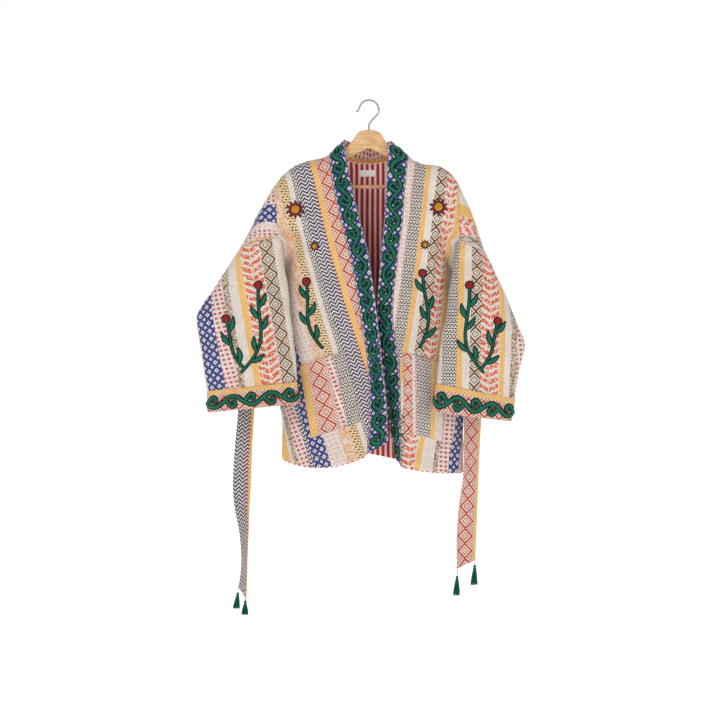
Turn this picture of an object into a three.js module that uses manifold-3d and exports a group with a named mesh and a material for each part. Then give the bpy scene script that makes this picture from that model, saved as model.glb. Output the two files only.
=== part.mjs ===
import * as THREE from "three";
import Module from "manifold-3d";

// A hip-length kimono jacket with its belt, hung on a wooden hanger, in millimetres.
// The origin is where the hook bears on a rail, +Z is up and the front faces -Y.
// Left and right are as seen from the front.

const wasm = await Module();
wasm.setup();

const CLOTH = 2; // woven cloth with its backing
const DOUBLE = 3; // the same cloth folded over for bands and cuffs
const LINING = 1;
const SEAM = 0.3; // space left between sewn pieces
const SHARPEST = 0.3; // limit on how far a narrow fold draws a seam in
const LIFT = 0.85; // space under what is sewn on a panel
const EMBROIDERY = 3.4; // height of the padded stitching

const point = (x, y, z) => new THREE.Vector3(x, y, z);
const ZERO = point(0, 0, 0);
const UP = point(0, 0, 1);
const mix = (a, b, t) => a + (b - a) * t;
const steps = (from, to, count) =>
  Array.from({ length: count + 1 }, (_, i) => mix(from, to, i / count));

// Rows of numbers under named columns.
function table(columns, rows) {
  const names = columns.split(" ");
  return rows.map((row) => Object.fromEntries(names.map((name, i) => [name, row[i]])));
}

// A smooth value through a list at a real-numbered place; the ends run on straight.
function through(list, at, blend) {
  const last = list.length - 1;
  const k = Math.min(Math.max(Math.floor(at), 0), last - 1);
  const t = at - k;
  const before = k > 0 ? list[k - 1] : null;
  const after = k < last - 1 ? list[k + 2] : null;
  return blend(before, list[k], list[k + 1], after, t);
}

function smooth(before, a, b, after, t) {
  const p = before ?? 2 * a - b;
  const q = after ?? 2 * b - a;
  const slopeA = (b - p) / 2;
  const slopeB = (q - a) / 2;
  const t2 = t * t;
  const t3 = t2 * t;
  return (
    (2 * t3 - 3 * t2 + 1) * a +
    (t3 - 2 * t2 + t) * slopeA +
    (3 * t2 - 2 * t3) * b +
    (t3 - t2) * slopeB
  );
}

function smoothPoint(points, at) {
  return through(points, at, (before, a, b, after, t) =>
    point(
      smooth(before?.x, a.x, b.x, after?.x, t),
      smooth(before?.y, a.y, b.y, after?.y, t),
      smooth(before?.z, a.z, b.z, after?.z, t),
    ),
  );
}

// Sections of the body, from the shoulder line down to the hem.
// seam is where the front meets the neck band, side where the section meets the sleeve
// or the side seam, and edge the free edge of the band. rise lifts the section over the
// hanger's tip, turn says how late it turns towards the side, fold pulls it back beside
// the sleeve and sag lowers its middle.
const FRONT_COLUMNS =
  "seamX seamY seamZ sideX sideY sideZ rise turn fold sag edgeX edgeY edgeZ";
const FRONT = {
  left: table(FRONT_COLUMNS, [
    [-94, 0, -131, -310, 0, -356, 66, 1, 0, 0, -57, 0, -95],
    [-93, -27, -152, -297, -45, -355, 58, 1, 0, 0, -57, -25, -121],
    [-85, -40, -215, -262, -62, -346, 22, 2, 4, 0, -42, -43, -206],
    [-65, -46, -300, -214, -46, -337, 4, 1, 24, 0, -22, -50, -288],
    [-52, -49, -352, -213, -8, -372, 0, 3, 14, 0, -9, -53, -341],
    [-41, -52, -400, -252, 22, -422, 0, 2.2, 20, 0, 2, -55, -390],
    [-20, -56, -520, -294, 28, -524, 0, 2.2, 16, 0, 18, -58, -512],
    [-3, -58, -640, -262, 18, -628, 0, 2.4, 6, 0, 31, -60, -630],
    [2, -59, -745, -213, 6, -742, 0, 2.8, 0, 4, 42, -61, -733],
    [-5, -60, -852, -208, -2, -866, 0, 3, 0, 24, 46, -62, -822],
  ]),
  right: table(FRONT_COLUMNS, [
    [95, 0, -134, 283, 0, -373, 86, 1, 0, 0, 50, 0, -98],
    [93, -27, -152, 273, -44, -370, 76, 1, 0, 0, 46, -25, -123],
    [86, -40, -215, 247, -60, -358, 30, 2, 4, 0, 41, -42, -215],
    [80, -44, -300, 211, -46, -343, 4, 1, 24, 0, 35, -46, -300],
    [73, -45, -350, 207, -8, -376, 0, 3, 14, 0, 31, -47, -350],
    [67, -45, -400, 240, 22, -426, 0, 2.2, 20, 0, 26, -47, -400],
    [57, -45, -520, 260, 28, -528, 0, 2.2, 16, 0, 20, -30, -515],
    [72, -46, -640, 248, 18, -632, 0, 2.4, 6, 0, 33, -26, -637],
    [76, -48, -745, 229, 6, -746, 0, 2.8, 0, 2, 46, -17, -748],
    [78, -50, -882, 226, -2, -898, 0, 3, 0, 5, 63, -20, -853],
  ]),
};
const BACK_COLUMNS = "seamX seamY seamZ sideX sideY sideZ rise turn sag edgeX edgeY edgeZ";
const BACK = {
  left: table(BACK_COLUMNS, [
    [-94, 0, -131, -310, 0, -356, 66, 1, 0, -57, 0, -95],
    [-56, 30, -141, -306, 24, -366, 60, 1, 0, -36, 24, -99],
    [0, 42, -147, -292, 34, -388, 52, 2, 0, 0, 34, -103],
    [0, 50, -235, -268, 32, -412, 20, 3, 0],
    [0, 55, -340, -252, 22, -422, 0, 3, 0],
    [0, 58, -500, -294, 28, -524, 0, 3, 0],
    [0, 60, -628, -262, 18, -628, 0, 3, 0],
    [0, 61, -745, -213, 6, -742, 0, 3, 4],
    [0, 61, -856, -208, -2, -866, 0, 3, 16],
  ]),
  right: table(BACK_COLUMNS, [
    [95, 0, -134, 283, 0, -373, 86, 1, 0, 50, 0, -98],
    [56, 30, -142, 280, 24, -382, 80, 1, 0, 34, 24, -101],
    [0, 42, -147, 270, 34, -400, 68, 2, 0, 0, 34, -103],
    [0, 50, -235, 254, 32, -418, 24, 3, 0],
    [0, 55, -340, 240, 22, -426, 0, 3, 0],
    [0, 58, -500, 260, 28, -528, 0, 3, 0],
    [0, 60, -628, 248, 18, -632, 0, 3, 0],
    [0, 61, -745, 229, 6, -746, 0, 3, 2],
    [0, 61, -856, 226, -2, -898, 0, 3, 2],
  ]),
};
const SHOULDER_SKEW = { left: 1.05, right: 1.25 };
const FOLD_AT = 0.8;
const FOLD_WIDTH = 0.13;

// How many of the sections lie above the underarm, and how finely each part is divided.
const FRONT_UNDERARM = 5;
const BACK_UNDERARM = 4;
const BACK_CENTRE = 2;
const ROWS_ABOVE = 12;
const ROWS_BELOW = 9;
const ACROSS = 10;
const NECK_RISE = 60; // how the back's centre line runs on above the neck
const SHOULDER_POWER = 1.3;
const SAG_POWER = { front: 0.7, back: 2 };
const FOLD_FADE = 8; // how fast a fold fades out beside the side seam

// Rings of the sleeves, from just under the armhole to the cuff. centreY and depth place
// the ring front to back, outerZ and innerZ are the heights of its two sides, and lag
// lowers its back.
const RING_COLUMNS = "outerX innerX outerZ innerZ centreY depth lag";
const SLEEVE = {
  left: table(RING_COLUMNS, [
    [-340, -198, -412, -438, -40, 62, 44],
    [-371, -193, -462, -478, -46, 64, 30],
    [-407, -189, -520, -524, -55, 60, 10],
    [-403, -182, -576, -578, -58, 56, 0],
    [-393, -176, -634, -628, -64, 52, 0],
    [-383, -174, -701, -679, -67, 48, 0],
  ]),
  right: table(RING_COLUMNS, [
    [302, 197, -424, -444, -40, 62, 44],
    [325, 190, -474, -484, -46, 64, 30],
    [349, 184, -538, -534, -55, 62, 10],
    [368, 175, -592, -580, -58, 58, 0],
    [354, 168, -652, -634, -64, 54, 0],
    [344, 163, -719, -683, -67, 50, 0],
  ]),
};
const CUFF = {
  left: table(RING_COLUMNS, [
    [-383, -174, -701, -679, -67, 48, 0],
    [-380, -165, -752, -731, -70, 54, 0],
  ]),
  right: table(RING_COLUMNS, [
    [344, 163, -719, -683, -67, 50, 0],
    [335, 152, -773, -750, -70, 56, 0],
  ]),
};
const RING_ANGLES = [0, 42, 88, 134, 180, 214, 258, 300, 332, 360];
const SLEEVE_ROWS = 9;
const CUFF_ROWS = 2;
const BAND_ACROSS = 2;

// How far up the shoulder line bows between its two ends.
function shoulder(side, u) {
  return Math.sin(Math.PI * Math.min(u, 1) ** SHOULDER_SKEW[side]) ** SHOULDER_POWER || 0;
}

// The point of a section at a share u of its way from the seam to the side.
function sectionPoint(section, side, u) {
  const isFront = section.fold !== undefined;
  const fold = isFront ? section.fold * Math.exp(-(((u - FOLD_AT) / FOLD_WIDTH) ** 2)) : 0;
  const faded = fold * Math.min(1, (1 - u) * FOLD_FADE);
  const sagPower = isFront ? SAG_POWER.front : SAG_POWER.back;
  const bow = Math.max(0, Math.sin(Math.PI * u)) ** sagPower;
  const lift = section.rise * shoulder(side, u) - section.sag * bow;
  return point(
    mix(section.seamX, section.sideX, u),
    mix(section.seamY, section.sideY, u ** section.turn) + faded,
    mix(section.seamZ, section.sideZ, u) + lift,
  );
}

function bodyPoint(sections, side, u, at) {
  return smoothPoint(
    sections.map((section) => sectionPoint(section, side, u)),
    at,
  );
}

// The rows at which the body is cut into facets: even above and below the underarm.
const rowsOf = (underarm, last) => [
  ...steps(0, underarm, ROWS_ABOVE),
  ...steps(underarm, last, ROWS_BELOW).slice(1),
];
const FRONT_ROWS = rowsOf(FRONT_UNDERARM, FRONT.left.length - 1);
const BACK_ROWS = rowsOf(BACK_UNDERARM, BACK.left.length - 1);

function frontGrid(side) {
  return FRONT_ROWS.map((at) =>
    steps(0, 1, ACROSS).map((u) => bodyPoint(FRONT[side], side, u, at)),
  );
}

const mirrored = (p) => point(-p.x, p.y, p.z);

// The back's inner column runs round the neck to the centre, then straight down, so the
// section past that corner is turned: across the centre above it, upwards below it.
function backPoint(side, u, at) {
  const points = BACK[side].map((section) => sectionPoint(section, side, u));
  const near = (1 - u) ** 2;
  if (at <= BACK_CENTRE) {
    const past = sectionPoint(BACK[side][BACK_CENTRE - 1], side, 0);
    points[BACK_CENTRE + 1].lerp(mirrored(past), near);
  } else {
    const centre = sectionPoint(BACK[side][BACK_CENTRE], side, 0);
    const above = centre.add(point(0, 0, NECK_RISE));
    points[BACK_CENTRE - 1].lerp(above, near);
  }
  return smoothPoint(points, at);
}

// The back shares its shoulder and side seams with the front.
function backGrid(side, front) {
  return BACK_ROWS.map((at, row) => {
    const points = steps(0, 1, ACROSS).map((u) => backPoint(side, u, at));
    if (row === 0) return front[0].map((p) => p.clone());
    if (row >= ROWS_ABOVE) points[ACROSS] = front[row][ACROSS].clone();
    return points;
  });
}

function ringPoint(ring, degrees) {
  const angle = (degrees * Math.PI) / 180;
  const across = (1 - Math.cos(angle)) / 2;
  const behind = Math.max(0, -Math.sin(angle));
  return point(
    mix(ring.outerX, ring.innerX, across),
    ring.centreY - (ring.depth / 2) * Math.sin(angle),
    mix(ring.outerZ, ring.innerZ, across) - ring.lag * behind,
  );
}

// The armhole's points in order: down the front edge, then up the back edge.
function armhole(front, back) {
  const down = front.slice(0, ROWS_ABOVE + 1).map((row) => row[ACROSS]);
  const up = back.slice(1, ROWS_ABOVE).map((row) => row[ACROSS]);
  return [...down, ...up.reverse()];
}

// The ring angle that meets each armhole point.
const RING_AT = [
  ...steps(0, FRONT_UNDERARM, ROWS_ABOVE),
  ...steps(FRONT_UNDERARM, FRONT_UNDERARM + BACK_UNDERARM, ROWS_ABOVE).slice(1, -1),
].map((at) => through(RING_ANGLES, at, smooth));

function sleeveGrid(side, hole) {
  return steps(0, SLEEVE[side].length, SLEEVE_ROWS).map((at) =>
    RING_AT.map((degrees, k) => {
      const rings = SLEEVE[side].map((ring) => ringPoint(ring, degrees));
      return smoothPoint([hole[k], ...rings], at);
    }),
  );
}

function cuffGrid(side) {
  return steps(0, 1, CUFF_ROWS).map((at) =>
    RING_AT.map((degrees) =>
      smoothPoint(
        CUFF[side].map((ring) => ringPoint(ring, degrees)),
        at,
      ),
    ),
  );
}

// One half of the neck band, from the front hem over the shoulder to the centre back.
function bandGrid(side, front, back) {
  const edgePoint = (section) => point(section.edgeX, section.edgeY, section.edgeZ);
  const row = (seam, edge) => steps(0, 1, BAND_ACROSS).map((s) => seam.clone().lerp(edge, s));
  const frontEdge = FRONT[side].map(edgePoint);
  const neck = BACK[side].slice(0, BACK_CENTRE + 1).map(edgePoint);
  neck.push(mirrored(neck[BACK_CENTRE - 1]));
  const rows = FRONT_ROWS.map((at, k) => row(front[k][0], smoothPoint(frontEdge, at)));
  const neckRows = BACK_ROWS.map((at, k) => [at, k])
    .filter(([at]) => at > 0 && at <= BACK_CENTRE)
    .map(([at, k]) => row(back[k][0], smoothPoint(neck, at)));
  return [...rows.reverse(), ...neckRows];
}

// Smooth normals of the whole garment, so that sewn pieces thicken the same way.
const WELD = 0.005; // points closer than this are one
const keyOf = (p) => [p.x, p.y, p.z].map((value) => Math.round(value / WELD)).join(" ");
const garmentNormals = new Map();

function eachQuad(grid, ring, visit) {
  for (let i = 0; i + 1 < grid.length; i++) {
    const count = grid[i].length;
    for (let j = 0; j + (ring ? 0 : 1) < count; j++) {
      const next = (j + 1) % count;
      visit(grid[i][j], grid[i][next], grid[i + 1][next], grid[i + 1][j]);
    }
  }
}

function faceNormal(a, b, c) {
  return b.clone().sub(a).cross(c.clone().sub(a));
}

// Every patch counts once at a seam, so that the seam's normal halves its angle.
function addNormals(patch) {
  const own = new Map();
  eachQuad(patch.grid, patch.ring, (a, b, c, d) => {
    const normal = faceNormal(a, b, c).add(faceNormal(a, c, d));
    if (patch.flip) normal.negate();
    for (const key of [a, b, c, d].map(keyOf)) {
      own.set(key, normal.clone().add(own.get(key) ?? ZERO));
    }
  });
  for (const [key, normal] of own) {
    const sum = garmentNormals.get(key) ?? point(0, 0, 0);
    garmentNormals.set(key, sum.add(normal.normalize()));
  }
}

const normalAt = (p) => garmentNormals.get(keyOf(p)).clone().normalize();

// The welded triangles of some patches, with their smooth normals. Open edges are drawn
// in by half the seam allowance.
function sheetOf(patches) {
  const index = new Map();
  const points = [];
  const normals = [];
  const faces = [];
  const id = (p) => {
    const key = keyOf(p);
    if (!index.has(key)) {
      index.set(key, points.length);
      points.push(p.clone());
      normals.push(normalAt(p));
    }
    return index.get(key);
  };
  for (const patch of patches)
    eachQuad(patch.grid, patch.ring, (a, b, c, d) => {
      const [i, j, k, l] = [a, b, c, d].map(id);
      const pair = patch.flip
        ? [
            [i, k, j],
            [i, l, k],
          ]
        : [
            [i, j, k],
            [i, k, l],
          ];
      faces.push(...pair);
    });
  const sheet = { points, normals, faces, rim: rimOf(faces) };
  drawIn(sheet, SEAM / 2);
  return sheet;
}

function rimOf(faces) {
  const edges = new Map();
  for (const face of faces)
    face.forEach((a, k) => edges.set(`${a} ${face[(k + 1) % 3]}`, [a, face[(k + 1) % 3], face]));
  return [...edges.values()].filter(([a, b]) => !edges.has(`${b} ${a}`));
}

function drawIn(sheet, distance) {
  const pulls = new Map();
  for (const [a, b, face] of sheet.rim) {
    const [p, q, r] = face.map((k) => sheet.points[k]);
    const along = sheet.points[b].clone().sub(sheet.points[a]).normalize();
    const normal = faceNormal(p, q, r).normalize();
    for (const k of [a, b]) {
      const upright = Math.max(SHARPEST, normal.dot(sheet.normals[k]));
      const inward = normal.clone().cross(along).divideScalar(upright);
      pulls.set(k, [...(pulls.get(k) ?? []), inward]);
    }
  }
  for (const [k, [first, second]] of pulls) {
    const sum = first.clone().add(second ?? first);
    const bend = first.clone().normalize().dot((second ?? first).clone().normalize());
    sheet.points[k].addScaledVector(sum, distance / (1 + bend));
  }
}

// A closed wall between two offsets of a sheet along its normals.
function wallGeometry(sheet, inner, outer) {
  const count = sheet.points.length;
  const offset = (distance) =>
    sheet.points.map((p, k) => p.clone().addScaledVector(sheet.normals[k], distance));
  const points = [...offset(inner), ...offset(outer)];
  const triangles = [];
  for (const [a, b, c] of sheet.faces) {
    triangles.push([a + count, b + count, c + count]);
    triangles.push([a, c, b]);
  }
  for (const [a, b] of sheet.rim) {
    if (rankOf(sheet.points[a]) < rankOf(sheet.points[b])) {
      triangles.push([a, b, b + count], [a, b + count, a + count]);
    } else {
      triangles.push([a, b, a + count], [b, b + count, a + count]);
    }
  }
  return geometryOf(points, triangles);
}

// Two sewn pieces split the faces of their seam along the same diagonals.
const rankOf = (p) => p.z + p.x / 3 + p.y / 5;

function geometryOf(points, triangles) {
  const geometry = new THREE.BufferGeometry();
  const numbers = points.flatMap((p) => [p.x, p.y, p.z]);
  geometry.setAttribute("position", new THREE.Float32BufferAttribute(numbers, 3));
  geometry.setIndex(triangles.flat());
  geometry.computeVertexNormals();
  return geometry;
}

const garment = new THREE.Group();
garment.name = "kimono_cardigan";

function add(name, geometry, colour, roughness = 0.9, metalness = 0) {
  const material = new THREE.MeshStandardMaterial({ color: colour, roughness, metalness });
  const mesh = new THREE.Mesh(geometry, material);
  mesh.name = name;
  garment.add(mesh);
  return mesh;
}

// Patches of the left and the right half
const patches = {};
for (const side of ["left", "right"]) {
  const front = frontGrid(side);
  const back = backGrid(side, front);
  const turned = side === "right";
  patches[side] = {
    front: { grid: front, flip: turned },
    back: { grid: back, flip: !turned },
    sleeve: { grid: sleeveGrid(side, armhole(front, back)), ring: true, flip: !turned },
    cuff: { grid: cuffGrid(side), ring: true, flip: !turned },
    band: { grid: bandGrid(side, front, back), flip: turned },
  };
  Object.values(patches[side]).forEach(addNormals);
}

const CREAM = "#e6d8c4";
const ORANGE = "#c8623c";
const BLUE = "#5a6c96";
const RED = "#a03038";
const GREEN = "#0d6b4f";
const GOLD = "#c08a28";

// Each sleeve has a head that lies over the drop of the shoulder, from front to back. Its
// seam runs from the shoulder line to the two ends given here as x and z.
const HEAD_SEAM = {
  left: { top: [-223.5, -203], front: [-219, -341], back: [-262, -417] },
  right: { top: [214, -202], front: [215.5, -345], back: [247, -423] },
};
const CUT_TOP = -120;
const CUT_PAST = 10; // how far the cut runs on below the seam
const CUT_TURN = 4; // where the cut turns from its front line to its back line
const CUT_REACH = 120;
const CUT_WIDE = 110; // how far the room of a head reaches out from its seam
const CUT_DEEP = 55;

// The room that a sleeve head takes up, widened by a margin towards the body.
function headRoom(side, margin) {
  const { top, front, back } = HEAD_SEAM[side];
  const out = side === "left" ? -1 : 1;
  const station = (y, [x, z]) => {
    const slope = (x - top[0]) / (z - top[1]);
    const low = z - CUT_PAST;
    const [high, foot] = [CUT_TOP, low].map((level) => top[0] + slope * (level - top[1]));
    const shift = -out * margin;
    return [
      point(high + shift, y, CUT_TOP),
      point(foot + shift, y, low),
      point(foot + out * CUT_WIDE, y, low - CUT_DEEP),
      point(foot + out * CUT_WIDE, y, CUT_TOP),
    ];
  };
  const frontRoom = [station(-CUT_REACH, front), station(-CUT_TURN, front)];
  const backRoom = [station(CUT_TURN, back), station(CUT_REACH, back)];
  return solidOf(tubeOf([...frontRoom, ...backRoom]));
}

// The body's part of a wall once the sleeve heads are cut off.
function withoutHeads(geometry, sides) {
  const rooms = sides.map((side) => headRoom(side, SEAM / 2));
  return geometryOfSolid(rooms.reduce((solid, room) => solid.subtract(room), solidOf(geometry)));
}

function headGeometry(side) {
  const above = ({ grid, flip }) => ({ grid: grid.slice(0, ROWS_ABOVE + 1), flip });
  const sheet = sheetOf([above(patches[side].front), above(patches[side].back)]);
  const wall = solidOf(wallGeometry(sheet, 0, CLOTH));
  return geometryOfSolid(wall.intersect(headRoom(side, -SEAM / 2)));
}

for (const side of ["left", "right"]) {
  const own = patches[side];
  const front = wallGeometry(sheetOf([own.front]), 0, CLOTH);
  add(`front_${side}`, withoutHeads(front, [side]), CREAM);
  add(`sleeve_head_${side}`, headGeometry(side), CREAM);
  add(`sleeve_${side}`, wallGeometry(sheetOf([own.sleeve]), 0, CLOTH), CREAM);
  add(`cuff_${side}`, wallGeometry(sheetOf([own.cuff]), 0, DOUBLE), ORANGE);
}
const backs = [patches.left.back, patches.right.back];
const backWall = wallGeometry(sheetOf(backs), 0, CLOTH);
add("back", withoutHeads(backWall, ["left", "right"]), CREAM);
const bands = [patches.left.band, patches.right.band];
add("neck_band", wallGeometry(sheetOf(bands), 0, DOUBLE), BLUE);

// The lining shows through the neck and below the fronts, so it is built behind them.
const LINING_ROWS = [6, 21];
const LINING_ACROSS = 5;
const liningPatch = (side) => ({
  grid: patches[side].back.grid
    .slice(LINING_ROWS[0], LINING_ROWS[1] + 1)
    .map((row) => row.slice(0, LINING_ACROSS + 1)),
  flip: patches[side].back.flip,
});
const liningSheet = sheetOf([liningPatch("left"), liningPatch("right")]);
add("back_lining", wallGeometry(liningSheet, -SEAM - LINING, -SEAM), RED);

// Finds the place on a sheet that is seen from the front at x and z, as a function that
// gives the point there at a height over the sheet.
const ON_EDGE = 1e-6;
function seenFrom(sheet) {
  const corners = sheet.faces.map((face) => face.map((k) => sheet.points[k]));
  return (x, z, height) => {
    let best = null;
    corners.forEach(([a, b, c], k) => {
      const area = (b.x - a.x) * (c.z - a.z) - (c.x - a.x) * (b.z - a.z);
      const s = ((x - a.x) * (c.z - a.z) - (c.x - a.x) * (z - a.z)) / area;
      const t = ((b.x - a.x) * (z - a.z) - (x - a.x) * (b.z - a.z)) / area;
      if (!(s >= -ON_EDGE && t >= -ON_EDGE && s + t <= 1 + ON_EDGE)) return;
      const y = a.y + s * (b.y - a.y) + t * (c.y - a.y);
      if (!best || y < best.y) best = { y, s, t, face: sheet.faces[k] };
    });
    if (!best) throw new Error(`nothing is seen at ${x}, ${z}`);
    const [a, b, c] = best.face.map((k) => sheet.normals[k]);
    const normal = a
      .clone()
      .addScaledVector(b.clone().sub(a), best.s)
      .addScaledVector(c.clone().sub(a), best.t)
      .normalize();
    return point(x, best.y, z).addScaledVector(normal, height);
  };
}

// Pockets and label: flat pieces given by their corners as seen from the front, from the
// top left round to the bottom left.
const POCKET_CELLS = [6, 8];
const POCKETS = {
  left: [
    [-167, -641],
    [-58, -608],
    [-20, -774],
    [-138, -814],
  ],
  right: [
    [80, -608],
    [182, -637],
    [175, -822],
    [85, -801],
  ],
};
const LABEL_THICK = 0.8;
const LABEL_CELLS = [2, 1];
const LABEL = [
  [-23, -162],
  [17, -162],
  [17, -178],
  [-23, -178],
];

function flatPiece(corners, [across, down], place, low, high) {
  const at = (s, t) => {
    const [a, b, c, d] = corners;
    const value = (k) => mix(mix(a[k], b[k], s), mix(d[k], c[k], s), t);
    return [value(0), value(1)];
  };
  const layer = (height) =>
    steps(0, 1, down).map((t) => steps(0, 1, across).map((s) => place(...at(s, t), height)));
  return blockGeometry(layer(low), layer(high));
}

// A closed block between two like grids of points.
function blockGeometry(inner, outer) {
  const rows = inner.length;
  const columns = inner[0].length;
  const id = (i, j) => i * columns + j;
  const count = rows * columns;
  const triangles = [];
  const quad = (a, b, c, d) => triangles.push([a, b, c], [a, c, d]);
  for (let i = 0; i + 1 < rows; i++)
    for (let j = 0; j + 1 < columns; j++) {
      quad(id(i, j), id(i, j + 1), id(i + 1, j + 1), id(i + 1, j));
      quad(count + id(i, j), count + id(i + 1, j), count + id(i + 1, j + 1), count + id(i, j + 1));
    }
  const side = (a, b) => quad(a, a + count, b + count, b);
  for (let j = 0; j + 1 < columns; j++) {
    side(id(0, j), id(0, j + 1));
    side(id(rows - 1, j + 1), id(rows - 1, j));
  }
  for (let i = 0; i + 1 < rows; i++) {
    side(id(i + 1, 0), id(i, 0));
    side(id(i, columns - 1), id(i + 1, columns - 1));
  }
  return facingOut(geometryOf([...inner.flat(), ...outer.flat()], triangles));
}

// Turns a closed geometry right side out.
function facingOut(geometry) {
  if (volumeOf(geometry) > 0) return geometry;
  const index = geometry.index.array;
  for (let k = 0; k < index.length; k += 3) {
    [index[k + 1], index[k + 2]] = [index[k + 2], index[k + 1]];
  }
  geometry.computeVertexNormals();
  return geometry;
}

function volumeOf(geometry) {
  const position = geometry.getAttribute("position");
  const corner = (k) => new THREE.Vector3().fromBufferAttribute(position, geometry.index.array[k]);
  let six = 0;
  for (let k = 0; k < geometry.index.count; k += 3)
    six += corner(k).dot(corner(k + 1).cross(corner(k + 2)));
  return six / 6;
}

const POCKET_LIFT = 0.8;
for (const side of ["left", "right"]) {
  const place = seenFrom(sheetOf([patches[side].front]));
  const low = CLOTH + POCKET_LIFT;
  add(`pocket_${side}`, flatPiece(POCKETS[side], POCKET_CELLS, place, low, low + CLOTH), CREAM);
}
const onLining = seenFrom(liningSheet);
const labelLow = -SEAM - LINING - SEAM;
const labelGeometry = flatPiece(LABEL, LABEL_CELLS, onLining, labelLow, labelLow - LABEL_THICK);
add("label", labelGeometry, CREAM);

// The belt: one long strip behind the back, through a loop at each side seam, then down.
// Each row is a place on its middle line; yaw turns its width from across (0) towards
// front to back (90), tip raises its width towards upright and slant cuts its end.
const BELT_WIDTH = 48;
const BELT_THICK = 3;
const BELT_COLUMNS = "x y z yaw tip slant";
const BELT = {
  left: table(BELT_COLUMNS, [
    [-308, 22, -526, 60, 88, 0],
    [-306, 6, -546, 50, 60, 0],
    [-303, -2, -572, 30, 28, 0],
    [-300, -6, -610, 18, 6, 0],
    [-298, -6, -670, 34, 0, 0],
    [-297, -6, -747, 41, 0, 0],
    [-303, -6, -830, 36, 0, 0],
    [-307, -6, -920, 29, 0, 0],
    [-307, -6, -978, 45, 0, 0],
    [-302, -6, -1040, 67, 0, 0],
    [-301, -6, -1111, 78, 0, 0],
    [-304, -6, -1163, 72, 0, 0],
    [-307, -6, -1190, 70, 0, -34],
  ]),
  right: table(BELT_COLUMNS, [
    [274, 22, -530, 240, 88, 0],
    [271, 6, -550, 230, 60, 0],
    [266, -2, -576, 210, 28, 0],
    [260, -6, -614, 198, 6, 0],
    [255, -6, -680, 204, 0, 0],
    [251, -6, -767, 206, 0, 0],
    [247, -6, -900, 216, 0, 0],
    [240, -6, -980, 196, 0, 0],
    [236, -6, -1045, 180, 0, 0],
    [235, -6, -1093, 192, 0, 0],
    [235, -6, -1122, 192, 0, -21],
  ]),
};
const BELT_LIFT = 2.8; // space between the back and the belt behind it
const BELT_AT = 5.12;
const BELT_BOW = 8;
const BELT_BACK_STEPS = 7;
const BELT_BACK_REACH = 0.96; // share of the half back at which the belt turns to its tail
const TANGENT = 0.02;
const TAIL_STEPS = 20;

function backNormal(side, u, at) {
  const along = backPoint(side, u + TANGENT, at).sub(backPoint(side, u - TANGENT, at));
  const normal = UP.clone().cross(along).normalize();
  return normal.y < 0 ? normal.negate() : normal;
}

// The belt's place behind the back, and that place moved out.
function beltBehind(side, u, outward = 0) {
  const p = backPoint(side, u, BELT_AT);
  const height = CLOTH + BELT_LIFT + BELT_THICK / 2 + outward;
  p.addScaledVector(backNormal(side, u, BELT_AT), height);
  p.z = backPoint(side, 1, BELT_AT).z + BELT_BOW * (1 - u ** 2);
  return p;
}

function beltTail(side) {
  const rows = BELT[side];
  const last = rows.length - 1;
  return steps(0, last, TAIL_STEPS).map((at) => {
    const value = (name) => through(rows.map((row) => row[name]), at, smooth);
    const yaw = THREE.MathUtils.degToRad(value("yaw"));
    const tip = THREE.MathUtils.degToRad(value("tip"));
    const flat = Math.cos(tip);
    const wide = point(Math.cos(yaw) * flat, Math.sin(yaw) * flat, Math.sin(tip));
    const p = point(value("x"), value("y"), value("z"));
    return { p, wide, slant: value("slant") };
  });
}

const squaredTo = (wide, along) =>
  wide.clone().addScaledVector(along, -wide.dot(along)).normalize();

// A strip swept through places that each give a middle point and the width's direction.
function ribbonGeometry(places, width, thick) {
  const last = places.length - 1;
  const rings = places.map(({ p, wide, slant }, k) => {
    const next = places[Math.min(k + 1, last)].p;
    const along = next.clone().sub(places[Math.max(k - 1, 0)].p).normalize();
    const across = squaredTo(wide, along);
    const out = along.clone().cross(across).multiplyScalar(thick / 2);
    const half = across.multiplyScalar(width / 2);
    const cut = point(0, 0, (slant ?? 0) / 2);
    const right = p.clone().add(half).add(cut);
    const left = p.clone().sub(half).sub(cut);
    return [
      right.clone().add(out),
      right.clone().sub(out),
      left.clone().sub(out),
      left.clone().add(out),
    ];
  });
  return tubeOf(rings);
}

// A closed solid through rings of points, with flat ends.
function tubeOf(rings) {
  const sides = rings[0].length;
  const triangles = [];
  for (let i = 0; i + 1 < rings.length; i++)
    for (let j = 0; j < sides; j++) {
      const next = (j + 1) % sides;
      const [a, b] = [i * sides + j, i * sides + next];
      triangles.push([a, b, b + sides], [a, b + sides, a + sides]);
    }
  const end = (rings.length - 1) * sides;
  for (let j = 1; j + 1 < sides; j++) {
    triangles.push([0, j + 1, j]);
    triangles.push([end, end + j, end + j + 1]);
  }
  return facingOut(geometryOf(rings.flat(), triangles));
}

function beltPlaces() {
  const behind = (side) =>
    steps(0, BELT_BACK_REACH, BELT_BACK_STEPS).map((u) => ({ p: beltBehind(side, u), wide: UP }));
  const back = [...behind("left").reverse(), ...behind("right").slice(1)];
  const left = beltTail("left").reverse();
  const right = beltTail("right");
  return [...left, ...back, ...right];
}

add("belt", ribbonGeometry(beltPlaces(), BELT_WIDTH, BELT_THICK), ORANGE);

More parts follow.
